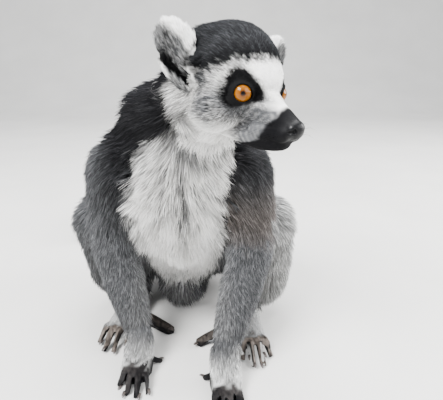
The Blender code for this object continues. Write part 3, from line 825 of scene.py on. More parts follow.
def markings(p, names):
    """Linear colours (n, 3) and how bare the skin is (n) at points p, each in or near FLESH[names]."""
    group = bpy.context.scene.lemur_colours
    colours = {key: np.array(getattr(group, key)) for key in LemurColours.__annotations__}
    kinds = kinds_of(names)
    result, bare = body_markings(p, kinds, colours)
    head = kinds == "head"
    result[head], bare[head] = head_markings(in_head(p[head]), colours)
    neck = kinds == "neck"
    q = in_head(p[neck])
    ruff = (1 - ramp(q[:, 1] - ruff_edge(q[:, 2]), -2, 3)) * ramp(q[:, 2], -42, -36) * ramp(-q[:, 2], -14, -8)
    ruff = ruff * (1 - behind(q[:, 0], q[:, 1]))
    result[neck] = mix(result[neck], colours["white"], ruff)
    ear = kinds == "ear"
    if ear.any():
        q = in_head(p[ear])
        t, outward = on_ear(q)
        # Grey on the ear's outer part and lower down: partly dark skin showing through sparse white hair, partly
        # painted shade in the ear's hollow.
        streak = 0.935 + 0.065 * np.sin(outward * 2.1 + 2 * wander(q, 6.0, 4))
        grey_edge = np.interp(t, (0, 0.35, 0.55, 0.75, 0.95), (-4, -4, -3, 0, 4))
        grey = ramp(outward - grey_edge, -2, 3) * ramp(-outward, -18, -15) * ramp(-t, -0.97, -0.82)
        low = ramp(-t, -0.45, -0.10) * ramp(outward, -12, -2) * ramp(wander(q, 5.0, 14), -0.2, 0.4)
        grey = np.maximum(grey * streak, 0.6 * low)
        result[ear] = mix(np.tile(colours["white"], (len(q), 1)), colours["limb"] * 0.35, np.clip(grey, 0, 1))
        # The cleft is painted black: painted shade in the deep opening of the ear.
        slit = 1 - ramp(slit_distance(t, outward) + 1.3 * wander(q, 5.0, 15), 2.6, 5.4)
        result[ear] = mix(result[ear], colours["black"], slit)
        bare[ear] = 0.6 * slit
    return result, bare


# ---------------------------------------------------------------- how the coat lies
def lie_of_coat(p, normals, names, edges):
    """Unit vectors along the skin, the way the hair points."""
    kinds = kinds_of(names)
    flow = np.tile((0.0, 0.45, -0.9), (len(p), 1))
    for side, way in SIDES.items():
        chain = [np.array(centre(part + "_" + side)) for part in ("upper_arm", "forearm", "hand")]
        arm = np.isin(names, [FLESH.index("upper_arm_" + side), FLESH.index("forearm_" + side)])
        flow[arm] = unit(chain[2] - chain[0]) + np.array((0.25 * way, 0.15, 0))
        flow[names == FLESH.index("hand_" + side)] = (0, -0.8, -0.5)
        flow[names == FLESH.index("foot_" + side)] = (0, -1, -0.1)
        flow[names == FLESH.index("thigh_" + side)] = (0.1 * way, 0.15, -1)
        flow[names == FLESH.index("shank_" + side)] = (0.05 * way, 0.25, -1)
    # Breast: hair fans out from a whorl at the breastbone and falls away from a parting below it.
    heart = np.array((centre("trunk").x + 0.004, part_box("trunk")[0].y + 0.01, 0.184))
    away = p - heart
    rise = np.where(away[:, 2] > 0, 0.30, 0.80) * away[:, 2] - 0.022
    fan = np.stack([0.95 * away[:, 0], 0.2 * away[:, 1], rise], 1)
    breast = np.exp(-(away[:, 0] / 0.060) ** 2) * ramp(-p[:, 1], 0.09, 0.13)
    breast *= ramp(-np.abs(away[:, 2]), -0.12, -0.06) * np.isin(kinds, ("trunk", "neck", "upper_arm"))
    flow = mix(unit(flow), unit(fan), breast)
    tail = kinds == "tail"
    flow[tail] = along_tail(p[tail])[1]
    # Head: away from the nose, down over the ruff, out round each eye and up each ear.
    head = np.isin(kinds, ("head", "ear"))
    q = in_head(p[head])
    local = unit(q - np.array((0, -66, -24)))
    ruff = ramp(q[:, 1], -6, 10) * ramp(-q[:, 2], -6, 8)
    local += np.stack([0.25 * np.sign(q[:, 0]), np.full(len(q), 0.1), -0.15 - 0.75 * ruff], 1)
    for way in SIDES.values():
        d = q - np.array(eye_centre(way))
        near = np.exp(-((np.linalg.norm(d, axis=1) - 8) / 7) ** 2)
        local += unit(d) * near[:, None] * 1.2
    _, outward = on_ear(q)
    ears = kinds[head] == "ear"
    for way in SIDES.values():
        _, along, edge, opening, _ = ear_axes(way)
        here = ears & (q[:, 0] * way > 0)
        lean = np.clip((outward[here] + 4) / 18, -0.3, 1)[:, None]
        local[here] = np.array(along) + 0.30 * lean * np.array(edge) + 0.25 * np.array(opening)
    flow[head] = local @ np.array(head_matrix().to_3x3()).T
    flow = spread(unit(flow), edges, 8)
    swirl = np.stack([wander(p, 0.035, seed) for seed in (21, 22, 23)], 1)
    flow = unit(flow) + 0.24 * swirl * (np.where(head, 0.35, 1.0) + 0.7 * breast)[:, None]
    flow = flow - normals * np.einsum("ij,ij->i", flow, normals)[:, None]
    return unit(flow)


STEP_PAST = 0.00002             # how far (m) a ray starts again beyond a surface
WIDEST_GAP = 0.0012             # a gap between two solids (m) that still counts as flesh
DEEPEST_COAT = 0.035            # how far out (m) the solids' outside is looked for


def room_for_coat(p, normals):
    """How far (m) it is from each point of the skin, straight out, to the outside of the solids."""
    corners, faces = [], []
    for name in FLESH:
        mesh = frame["nodes"][name].data
        base = len(corners)
        corners += [v.co.copy() for v in mesh.vertices]
        faces += [[base + i for i in poly.vertices] for poly in mesh.polygons]
    tree = BVHTree.FromPolygons(corners, faces)
    room = np.zeros(len(p))
    for n, (place, way) in enumerate(zip(p, normals)):
        way = Vector(way)
        start, reached, done = Vector(place), 0.0, 0.0
        for _ in range(8):
            hit, surface, _, distance = tree.ray_cast(start, way, DEEPEST_COAT - done)
            if hit is None:
                break
            leaving = surface.dot(way) > 0
            if not leaving and done + distance - reached > WIDEST_GAP:
                break
            done += distance + STEP_PAST
            reached = done if leaving else reached
            start = hit + way * STEP_PAST
        room[n] = reached
    return room


def skin_fields(skin):
    """Everything the tufts need to know at each vertex of the skin."""
    mesh = skin.data
    p, edges = points_of(mesh), edges_of(mesh)
    normals = unit(spread(normals_of(mesh), edges, 2))
    names = keep_skull(nearest_nodes(p), p)
    kinds = kinds_of(names)
    rgb, bare = markings(p, names)
    # The tops of the digits are painted paler: partly their short pale hair, partly painted highlight where light
    # falls on them from above.
    pale_tops_and_highlight = np.isin(kinds, ("hand", "foot")) * ramp(bare, 0.45, 0.8) * ramp(normals[:, 2], 0.3, 0.85)
    # The big toes, turned in under the body, stay dark.
    pale_tops_and_highlight = pale_tops_and_highlight * (0.35 + 0.65 * ramp(np.abs(p[:, 0] - centre("trunk").x), 0.034, 0.048))
    pale_tops_and_highlight = np.clip(pale_tops_and_highlight * (0.60 + 0.4 * wander(p, 0.004, 39)), 0, 1)
    foot_top, hand_top = (np.array(linear(DIGIT_TOP_HAIR_AND_HIGHLIGHT[part])) for part in ("foot", "hand"))
    tops = np.where((kinds == "foot")[:, None], foot_top, hand_top)
    rgb = rgb + (tops - rgb) * pale_tops_and_highlight[:, None]
    table = np.array([COAT[k][1:] for k in kinds], float)
    q = in_head(p)
    head = kinds == "head"
    # On the head the hair grows from 1.6 mm on the muzzle to 9 mm on the crown and 18 mm on the ruff.
    back = ramp(q[:, 1], -40, 8)
    ruff = ramp(-q[:, 2], -8, 8) * ramp(q[:, 1], -10, 12)
    eye, rim = np.full((2, len(q)), 99.0)
    for way in SIDES.values():
        axis = np.array(gaze_axis(way))
        d = q - np.array(eye_centre(way))
        here = np.linalg.norm(d, axis=1)
        from_axis = np.linalg.norm(d - (d @ axis)[:, None] * axis, axis=1) + 30 * ramp(-(d @ axis), -1, 3)
        eye, rim = np.minimum(eye, here), np.minimum(rim, from_axis)
    size = 1.6 + 7.4 * back + 9.0 * ruff
    size = np.minimum(size, 1.1 + 0.45 * np.maximum(rim - 8, 0))
    table[head, 0] = size[head]
    breast = ramp(-p[:, 1], 0.145, 0.175) * ramp(p[:, 2], 0.09, 0.12) * np.isin(kinds, ("trunk", "neck"))
    table[:, 0] += 2 * breast
    table[:, 0] += 5 * np.isin(kinds, ("hand", "foot")) * ramp(p[:, 2], 0.014, 0.028)
    # The crown's two upper corners, inside the ears, stand fuller.
    fuller = np.exp(-((np.abs(q[:, 0]) - 21) / 9) ** 2 - ((q[:, 1] - 13) / 13) ** 2
                    - ((q[:, 2] - 30) / 11) ** 2) * head
    table[:, 0] += 5 * fuller
    table = spread(table, edges, 5)
    room = spread(room_for_coat(p, normals), edges, 8) * 1000
    lie = np.arcsin(np.clip(room / table[:, 0], 0.15, 0.72))
    lie = np.where(kinds == "ear", np.maximum(lie, 0.42), lie) + 0.45 * fuller
    growth = 1 - ramp(bare, 0.32, 0.84)
    growth *= 1 - (1 - ramp(eye, 8.9, 9.3) * ramp(rim, 6.6, 7.4)) * head
    cleft = slit_distance(*on_ear(q))
    ears = np.isin(kinds, ("ear", "head")) & (np.abs(q[:, 0]) > 25)
    growth *= np.where(ears, 0.10 + 0.90 * ramp(cleft + 1.3 * wander(q, 5.0, 15), 2.4, 4.2), 1)
    table[:, 0] = np.where(ears, np.minimum(table[:, 0], 3.5 + 0.7 * np.maximum(cleft - 2, 0)), table[:, 0])
    # Little coat is spent where it can't be seen.
    growth *= 1 - 0.6 * ramp(-normals[:, 2], 0.55, 0.85) * ~head
    return {"p": p, "n": normals, "names": names, "kinds": kinds, "rgb": rgb, "bare": bare, "growth": growth,
            "length": table[:, 0] * MM, "lie": lie, "width": table[:, 1],
            "flow": lie_of_coat(p, normals, names, edges), "triangles": triangles_of(mesh), "head": q}


# ---------------------------------------------------------------- tufts
PATCH_SIZE = 0.003              # width of a tuft's patch on the OFBake map
CELL_KEYS = (73856093, 19349663, 83492791)


def tuft_mesh(name, curve, widths, side, lift, rgb, uv, soft_normals):
    """One mesh of closed, pointed tufts.

    curve is (n, k, 3) from root to tip, and widths (n, k - 2) at the rings between.
    """
    count, knots = curve.shape[:2]
    rings = knots - 2
    per = 2 + 3 * rings
    co = np.empty((count, per, 3))
    co[:, 0] = curve[:, 0]
    co[:, -1] = curve[:, -1]
    corner = ((0.0, 0.62), (0.5, -0.31), (-0.5, -0.31))
    for r in range(rings):
        for c, (across, up) in enumerate(corner):
            co[:, 1 + 3 * r + c] = curve[:, r + 1] + widths[:, r, None] * (side * across + lift * up)
    co[:, :, 2] = np.maximum(co[:, :, 2], COAT_FLOOR)
    faces = [(0, 2, 1), (0, 3, 2), (0, 1, 3)]
    for r in range(rings - 1):
        a, b = 1 + 3 * r, 4 + 3 * r
        for c in range(3):
            d = (c + 1) % 3
            faces += [(a + c, b + d, b + c), (a + c, a + d, b + d)]
    a, tip = 1 + 3 * (rings - 1), per - 1
    faces += [(a, a + 1, tip), (a + 1, a + 2, tip), (a + 2, a, tip)]
    faces = np.array(faces)
    index = (faces[None] + (np.arange(count) * per)[:, None, None]).reshape(-1)
    mesh = bpy.data.meshes.new(name)
    mesh.vertices.add(count * per)
    mesh.vertices.foreach_set("co", co.astype(np.float32).ravel())
    mesh.loops.add(len(index))
    mesh.loops.foreach_set("vertex_index", index.astype(np.int32))
    polygons = len(index) // 3
    mesh.polygons.add(polygons)
    mesh.polygons.foreach_set("loop_start", np.arange(0, len(index), 3, dtype=np.int32))
    mesh.update(calc_edges=True)
    mesh.polygons.foreach_set("use_smooth", np.ones(polygons, bool))
    share = np.concatenate([[0.0], np.repeat(np.linspace(0.35, 0.8, rings) if rings > 1 else [0.5], 3), [1.0]])
    # Roots are darker, as if shaded by the hair above them.
    tone = 0.42 + 0.72 * share
    attribute = mesh.color_attributes.new("coat_colour", "FLOAT_COLOR", "POINT")
    shade = np.ones((count, per, 4), np.float32)
    shade[:, :, :3] = np.clip(rgb[:, None] * tone[None, :, None], 0, 1)
    attribute.data.foreach_set("color", shade.ravel())
    sideways = np.array([0.5] + [0.5, 1.0, 0.0] * rings + [0.5])
    patch = uv[:, None, :] + PATCH_SIZE * (np.stack([sideways, share], 1)[None] - 0.5)
    patch = np.clip(patch, 0.001, 0.999).reshape(-1, 2)
    layer = mesh.uv_layers.new(name="OFBake")
    layer.data.foreach_set("uv", patch[index].astype(np.float32).ravel())
    if soft_normals is not None:
        softness = bpy.context.scene.lemur_coat.softness
        own = normals_of(mesh)
        mesh.normals_split_custom_set_from_vertices(unit(mix(own, np.repeat(soft_normals, per, axis=0),
                                                             np.full(len(own), softness))))
    return mesh


def unwrap_round(points, start, end, first=0.0, last=1.0):
    """Place on the skin's own unwrap: the angle round a part's axis and the distance along it."""
    start, end = np.array(start, float), np.array(end, float)
    axis = unit(end - start)
    side = unit(np.cross(axis, (0.31, 0.17, 0.93)))
    front = np.cross(axis, side)
    d = points - start
    run = d @ axis
    angle = np.arctan2(d @ side, d @ front) / (2 * math.pi) + 0.5
    span = max(run.max() - run.min(), 1e-6)
    return np.stack([first + (last - first) * (0.01 + 0.98 * angle), 0.01 + 0.98 * (run - run.min()) / span], 1)


def unwrap_tail(points):
    """As above, following the tail's curve."""
    run, way, total = along_tail(points)
    line = tail_line()
    middle = np.array([line[np.argmin(np.abs(line - p).sum(axis=1))] for p in points])
    d = points - middle
    outward = unit(np.cross(way, (0, 0, 1.0)))
    angle = np.arctan2(d[:, 2], np.einsum("ij,ij->i", d, outward)) / (2 * math.pi) + 0.5
    return np.stack([0.01 + 0.98 * np.clip(run / total, 0, 1), 0.01 + 0.98 * angle], 1)


def unwrap_pair(points, first, second):
    """Two like parts side by side, each round the axis given for it as (start, end)."""
    middle = (np.array(first[0]) + np.array(second[0])) / 2
    across = np.array(first[0]) - middle
    one = (points - middle) @ across > 0
    uv = np.zeros((len(points), 2))
    if one.any():
        uv[one] = unwrap_round(points[one], *first, 0.0, 0.5)
    if (~one).any():
        uv[~one] = unwrap_round(points[~one], *second, 0.5, 1.0)
    return uv


def grow(name, fields, where, count, rings, unwrap, seed, width=1.0, stretch=1.0, clump_size=0.006, lift=1.0):
    """Scatters tufts over the triangles whose corners are in where, and makes one piece of them."""
    coat = bpy.context.scene.lemur_coat
    rng = np.random.default_rng(coat.seed * 1000 + seed)
    triangles = fields["triangles"]
    triangles = triangles[where[triangles].all(axis=1)]
    corners = fields["p"][triangles]
    area = np.linalg.norm(np.cross(corners[:, 1] - corners[:, 0], corners[:, 2] - corners[:, 0]), axis=1) / 2
    growth, hair = (fields[key][triangles].mean(axis=1) for key in ("growth", "length"))
    weight = area * growth / (hair + 0.004)
    total = np.cumsum(weight)
    count = int(count * coat.density)
    picked = np.searchsorted(total, rng.uniform(0, total[-1], count))
    u, v = rng.uniform(size=(2, count))
    flip = u + v > 1
    u[flip], v[flip] = 1 - u[flip], 1 - v[flip]
    share = np.stack([1 - u - v, u, v], 1)
    chosen = triangles[picked]

    def at(key):
        """A field's value at each root, from its triangle's three corners."""
        return np.einsum("nk,nk...->n...", share, fields[key][chosen])

    root, normal, flow = at("p"), unit(at("n")), unit(at("flow"))
    side = unit(np.cross(flow, normal))
    drift = wander(root, 0.022, seed) * 0.16 + rng.normal(0, 0.13, count)
    flow = unit(flow + side * drift[:, None])
    side = unit(np.cross(flow, normal))
    size = at("length") * stretch * rng.uniform(0.72, 1.15, count)
    rise = at("lie") * lift * (1 + 0.18 * wander(root, 0.03, seed + 1)) * rng.uniform(0.75, 1.3, count)
    curve = [root - normal * 0.0006]
    joints = np.linspace(0, 1, rings + 2)
    for k in range(rings + 1):
        angle = rise * (1.25 - 1.05 * joints[k])
        step = size * (joints[k + 1] - joints[k])
        heading = flow * np.cos(angle)[:, None] + normal * np.sin(angle)[:, None]
        curve.append(curve[-1] + step[:, None] * heading)
    curve = np.stack(curve, 1)
    # Tips draw together in locks.
    cell = np.floor((root + 0.3 * clump_size * rng.normal(size=root.shape)) / clump_size).astype(np.int64)
    key = cell[:, 0] * CELL_KEYS[0] ^ cell[:, 1] * CELL_KEYS[1] ^ cell[:, 2] * CELL_KEYS[2]
    _, inverse, members = np.unique(key, return_inverse=True, return_counts=True)
    for k in range(1, rings + 2):
        mean = np.stack([np.bincount(inverse, curve[:, k, a]) for a in range(3)], 1) / members[:, None]
        pull = coat.clump * (k / (rings + 1)) ** 1.5
        curve[:, k] += (mean[inverse] - curve[:, k]) * pull
    tone = rng.normal(1, 0.10, count) * (1 + rng.normal(0, 0.05, len(members))[inverse])
    rgb = at("rgb")
    grey = rgb.mean(axis=1)
    # Four tufts in ten of the grey coat are much darker or paler than the rest, which gives its pepper and salt.
    fleck = (rng.uniform(size=count) < 0.42) * ramp(grey, 0.006, 0.013) * ramp(-grey, -0.65, -0.45)
    rgb = rgb * tone[:, None]
    rgb = mix(rgb, rgb * rng.choice([0.30, 2.4], count)[:, None] + 0.008, 0.75 * fleck)
    girth = at("width") * width * coat.thickness * rng.uniform(0.75, 1.25, count)
    profile = {1: [1.0], 2: [1.0, 0.72]}[rings]
    widths = girth[:, None] * np.array(profile)[None]
    lifted = unit(np.cross(side, unit(curve[:, -1] - curve[:, 0])))
    soft = unit(at("n") + 0.35 * flow) if coat.softness > 0 else None
    mesh = tuft_mesh(name, curve, widths, side, lifted, rgb, unwrap(root), soft)
    piece = link(name, mesh)
    piece.data.materials.append(coat_material())
    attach(piece, "root")


# ---------------------------------------------------------------- materials
# Patterns per metre. Hair, pebbling and horn are finer in life, and drawn as coarse as they need to be to show.
COAT_GRAIN = 900.0              # blotches of about 1.1 mm
HIDE_GRAIN = 1500.0             # about 0.7 mm
PEBBLES = 1600.0                # about 0.6 mm
HORN_GRAIN = 1800.0             # about 0.6 mm across the nail
BOARD_MOTTLE = 6.0              # about 170 mm


def add(tree, kind_name, inputs=None, **settings):
    """Adds one shader node; an input given as a socket is linked, any other is set."""
    node = tree.nodes.new("ShaderNode" + kind_name)
    for key, value in settings.items():
        setattr(node, key, value)
    for key, value in (inputs or {}).items():
        if isinstance(value, bpy.types.NodeSocket):
            tree.links.new(value, node.inputs[key])
        else:
            node.inputs[key].default_value = value
    return node


def new_material(name):
    """An empty material with its Principled shader."""
    material = bpy.data.materials.new(name)
    material.use_nodes = True
    tree = material.node_tree
    shader = tree.nodes["Principled BSDF"]
    return material, tree, shader


def ramp_node(tree, factor, stops):
    """A colour ramp through (position, sRGB hex) stops."""
    node = add(tree, "ValToRGB", {"Fac": factor})
    elements = node.color_ramp.elements
    while len(elements) < len(stops):
        elements.new(0.5)
    for element, (position, hex_colour) in zip(elements, stops):
        element.position = position
        element.color = (*linear(hex_colour), 1)
    return node


def coat_material():
    """Lemur hair: keratin strands, so fine and uneven that the coat looks matt, coloured tuft by tuft."""
    if "coat_hair" in bpy.data.materials:
        return bpy.data.materials["coat_hair"]
    material, tree, shader = new_material("coat_hair")
    tuft = add(tree, "VertexColor", layer_name="coat_colour")
    place = add(tree, "TexCoord")
    grain = add(tree, "TexNoise", {"Vector": place.outputs["Object"], "Scale": COAT_GRAIN, "Detail": 2.0})
    tone = add(tree, "MapRange", {"Value": grain.outputs["Fac"], "To Min": 0.82, "To Max": 1.16})
    hair = add(tree, "VectorMath", {0: tuft.outputs["Color"], "Scale": tone.outputs["Result"]},
               operation="SCALE")
    tree.links.new(hair.outputs["Vector"], shader.inputs["Base Color"])
    shader.inputs["Roughness"].default_value = 0.62
    shader.inputs["Specular IOR Level"].default_value = 0.02
    return material


def hide_material():
    """Skin under the coat, matt and hair-grained, turning to pebbled black leather on the digits and the nose.

    Only the nose's tip is bare enough to be wet.
    """
    material, tree, shader = new_material("hide_and_leather")
    skin = add(tree, "VertexColor", layer_name="hide_colour")
    bare = add(tree, "Attribute", attribute_name="bare")
    place = add(tree, "TexCoord")
    hair = add(tree, "TexNoise", {"Vector": place.outputs["Object"], "Scale": HIDE_GRAIN, "Detail": 3.0})
    tone = add(tree, "MapRange", {"Value": hair.outputs["Fac"], "To Min": 0.70, "To Max": 1.15})
    grained = add(tree, "VectorMath", {0: skin.outputs["Color"], "Scale": tone.outputs["Result"]},
                  operation="SCALE")
    tree.links.new(grained.outputs["Vector"], shader.inputs["Base Color"])
    pebble = add(tree, "TexVoronoi", {"Vector": place.outputs["Object"], "Scale": PEBBLES})
    leather = add(tree, "Math", {0: pebble.outputs["Distance"], 1: bare.outputs["Fac"]}, operation="MULTIPLY")
    height = add(tree, "Math", {0: leather.outputs["Value"], 1: hair.outputs["Fac"]}, operation="ADD")
    bump = add(tree, "Bump", {"Height": height.outputs["Value"], "Strength": 0.35, "Distance": 0.0003})
    tree.links.new(bump.outputs["Normal"], shader.inputs["Normal"])
    rough = add(tree, "MapRange", {"Value": bare.outputs["Fac"], "To Min": 0.85, "To Max": 0.42})
    tree.links.new(rough.outputs["Result"], shader.inputs["Roughness"])
    wet = add(tree, "MapRange", {"Value": bare.outputs["Fac"], "From Min": 0.87, "From Max": 1.0,
                                 "To Max": 0.16})
    tree.links.new(wet.outputs["Result"], shader.inputs["Coat Weight"])
    shader.inputs["Coat Roughness"].default_value = 0.25
    shader.inputs["Specular IOR Level"].default_value = 0.08
    return material


def eye_material():
    """A living eye: amber iris with radial fibres, dark rim and pupil, under a wet cornea."""
    material, tree, shader = new_material("amber_eye")
    flat = add(tree, "UVMap", uv_map="iris")
    out = add(tree, "VectorMath", {0: flat.outputs["UV"], 1: (0.5, 0.5, 0)}, operation="SUBTRACT")
    reach = add(tree, "VectorMath", {0: out.outputs["Vector"]}, operation="LENGTH")
    way = add(tree, "VectorMath", {0: out.outputs["Vector"]}, operation="NORMALIZE")
    rays = add(tree, "TexNoise", {"Vector": way.outputs["Vector"], "Scale": 9.0, "Detail": 4.0})
    depth = add(tree, "MapRange", {"Value": rays.outputs["Fac"], "To Min": -0.022, "To Max": 0.022})
    uneven = add(tree, "Math", {0: reach.outputs["Value"], 1: depth.outputs["Result"]}, operation="ADD")
    iris = ramp_node(tree, uneven.outputs["Value"], [
        (0.018, "#050302"), (0.027, "#2A1204"), (0.042, "#663805"), (0.085, "#7E4B08"),
        (0.112, "#734206"), (0.128, "#3A2005"), (0.140, "#0B0605"), (0.30, "#0E0A09")])
    tree.links.new(iris.outputs["Color"], shader.inputs["Base Color"])
    shader.inputs["Roughness"].default_value = 0.45
    shader.inputs["Specular IOR Level"].default_value = 0.0
    shader.inputs["Coat Weight"].default_value = 0.7
    shader.inputs["Coat Roughness"].default_value = 0.03
    shader.inputs["Coat IOR"].default_value = 1.38
    return material


def horn_material():
    """Nail horn: dark, lengthwise grained and half polished."""
    material, tree, shader = new_material("nail_horn")
    place = add(tree, "TexCoord")
    squeeze = add(tree, "Mapping", {"Vector": place.outputs["Object"], "Scale": (1.0, 0.25, 1.0)})
    grain = add(tree, "TexNoise", {"Vector": squeeze.outputs["Vector"], "Scale": HORN_GRAIN, "Detail": 2.0})
    tone = ramp_node(tree, grain.outputs["Fac"], [(0.3, "#1C1918"), (0.55, "#3A3432"), (0.8, "#6A625C")])
    tree.links.new(tone.outputs["Color"], shader.inputs["Base Color"])
    bump = add(tree, "Bump", {"Height": grain.outputs["Fac"], "Strength": 0.25, "Distance": 0.0001})
    tree.links.new(bump.outputs["Normal"], shader.inputs["Normal"])
    shader.inputs["Roughness"].default_value = 0.32
    return material


def floor_material():
    """Matt pale studio board with the faintest mottle."""
    material, tree, shader = new_material("studio_board")
    place = add(tree, "TexCoord")
    mottle = add(tree, "TexNoise", {"Vector": place.outputs["Object"], "Scale": BOARD_MOTTLE, "Detail": 3.0})
    tone = ramp_node(tree, mottle.outputs["Fac"], [(0.3, "#CFCECB"), (0.7, "#D6D5D2")])
    tree.links.new(tone.outputs["Color"], shader.inputs["Base Color"])
    shader.inputs["Roughness"].default_value = 0.75
    return material


# ---------------------------------------------------------------- pieces
WORK = {}                       # what the skin's operator leaves for those of the whiskers and the coat


def dress_skin():
    """The finished skin, with its markings, and the fields that the coat grows from."""
    skin = build_skin()
    fields = skin_fields(skin)
    WORK["fields"] = fields
    mesh = skin.data
    hide = np.ones((len(fields["p"]), 4), np.float32)
    # The skin under longer hair is painted darker: painted shade under the coat.
    under = fields["growth"] * ramp(fields["length"], 0.004, 0.012)
    hide[:, :3] = fields["rgb"] * (1 - 0.42 * under)[:, None]
    mesh.color_attributes.new("hide_colour", "FLOAT_COLOR", "POINT").data.foreach_set("color", hide.ravel())
    mesh.attributes.new("bare", "FLOAT", "POINT").data.foreach_set("value", fields["bare"].astype(np.float32))
    mesh.materials.clear()
    mesh.materials.append(hide_material())
    mesh.polygons.foreach_set("use_smooth", np.ones(len(mesh.polygons), bool))
    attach(skin, "root")
    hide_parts(*FLESH)


def build_eye(side):
    """A ball with its cornea standing out, turned to look along the eye's axis."""
    face = bpy.context.scene.lemur_face
    way = SIDES[side]
    deselect()
    bpy.ops.mesh.primitive_uv_sphere_add(segments=48, ring_count=40, radius=face.eyeball)
    eye = bpy.context.view_layer.objects.active
    bpy.ops.object.mode_set(mode="EDIT")
    bpy.ops.mesh.select_all(action="DESELECT")
    bpy.ops.object.mode_set(mode="OBJECT")
    for vertex in eye.data.vertices:
        vertex.select = vertex.co.z > face.eyeball * 0.995
    bpy.ops.object.mode_set(mode="EDIT")
    bpy.ops.transform.translate(value=(0, 0, face.eyeball * 0.085), use_proportional_edit=True,
                                proportional_edit_falloff="SMOOTH", proportional_size=face.eyeball * 0.85)
    bpy.ops.object.mode_set(mode="OBJECT")
    mesh = eye.data
    for layer in list(mesh.uv_layers):
        mesh.uv_layers.remove(layer)
    iris = mesh.uv_layers.new(name="iris")
    for loop in mesh.loops:
        place = mesh.vertices[loop.vertex_index].co.normalized()
        reach = 0.5 * math.acos(max(-1, min(1, place.z))) / math.pi
        flat = Vector((place.x, place.y))
        flat = flat.normalized() * reach if flat.length > 1e-6 else Vector((0, 0))
        iris.data[loop.index].uv = (0.5 + flat.x, 0.5 + flat.y)
    axis = gaze_axis(way)
    turn = head_matrix().to_3x3() @ axis.to_track_quat("Z", "Y").to_matrix()
    mesh.transform(Matrix.Translation(centre("eye_" + side)) @ turn.to_4x4())
    bpy.ops.object.shade_smooth()
    eye.name = "eyeball_" + side
    mesh.name = eye.name
    mesh.materials.append(bpy.data.materials.get("amber_eye") or eye_material())
    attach(eye, "root")
    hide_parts("eye_" + side)


# Digits from the wrist or ankle: root and tip as (outwards, forwards), and the nail's width (mm).
DIGITS = {
    "hand": [((-8, 11), (-20.5, 4), 3.0), ((-8.8, 26), (-15, 47.5), 3.0), ((-3, 28.5), (-5.8, 53), 3.2),
             ((3.2, 28), (3.8, 50.5), 3.2), ((8.5, 24), (13.2, 39), 2.9)],
    "foot": [((-9, 38), (-54.5, 59), 4.4), ((-9.5, 62), (-12, 88), 2.4), ((-2.5, 65), (-2.5, 99), 3.2),
             ((5, 64), (7.5, 99), 3.2), ((11.5, 60), (17, 86), 3.0)],
}
# How far each paw is turned outwards (degrees).
HEADING = {"hand_right": 2, "hand_left": 4, "foot_right": 6, "foot_left": 5}


def digit_places(node):
    """For each digit of a paw: its root and its tip on the solid, its direction and its nail's width."""
    points = points_of(frame["nodes"][node].data)
    way = 1 if node.endswith("left") else -1
    heading = math.radians(HEADING[node])
    ahead = np.array((way * math.sin(heading), -math.cos(heading), 0))
    out = np.array((way * math.cos(heading), math.sin(heading), 0))
    digits = DIGITS[kind(node)]
    reach = (points @ ahead).max() - max(tip[1] for _, tip, _ in digits) * MM
    top = points[points[:, 2] > points[:, 2].max() - 0.004].mean(axis=0)
    start = top + ahead * (reach - top @ ahead)
    found = []
    for root, tip, width in digits:
        guess = start + (out * tip[0] + ahead * tip[1]) * MM
        direction = unit(out * (tip[0] - root[0]) + ahead * (tip[1] - root[1]))
        close = points[np.linalg.norm((points - guess)[:, :2], axis=1) < 0.0075]
        end = close[np.argmax(close @ direction)] if len(close) else guess
        found.append([root, guess, end, direction, width])
    drift = np.mean([(end - guess) @ out for _, guess, end, _, _ in found[1:]])
    places = []
    for root, _, end, direction, width in found:
        base = start + out * (root[0] * MM + drift) + ahead * root[1] * MM
        places.append((Vector((base[0], base[1], 0)), Vector(end), Vector(direction), width))
    return places


def part_digits(paw, node):
    """Cuts wedges between neighbouring digits, widest at their tips and closing at the knuckles."""
    places = digit_places(node)[1:]
    blades = []
    for (root, tip, _, _), (next_root, next_tip, _, _) in zip(places, places[1:]):
        start, end = (root + next_root) / 2, (tip + next_tip) / 2
        along = Vector((end.x - start.x, end.y - start.y, 0)).normalized()
        middle = (end + along * 0.002) * 1000 + Vector((0, 0, 5.0))
        reach = (end - start).length * 1000 + 1
        across = Vector((along.y, -along.x, 0))
        turn = Matrix((across, along, Vector((0, 0, 1)))).transposed()
        blades.append(ball(middle, (1.5, reach, 9.0), turn, 20))
    cutter = join("blades", blades)
    cutter.data.transform(Matrix.Scale(MM, 4))
    cut_away(paw, cutter)


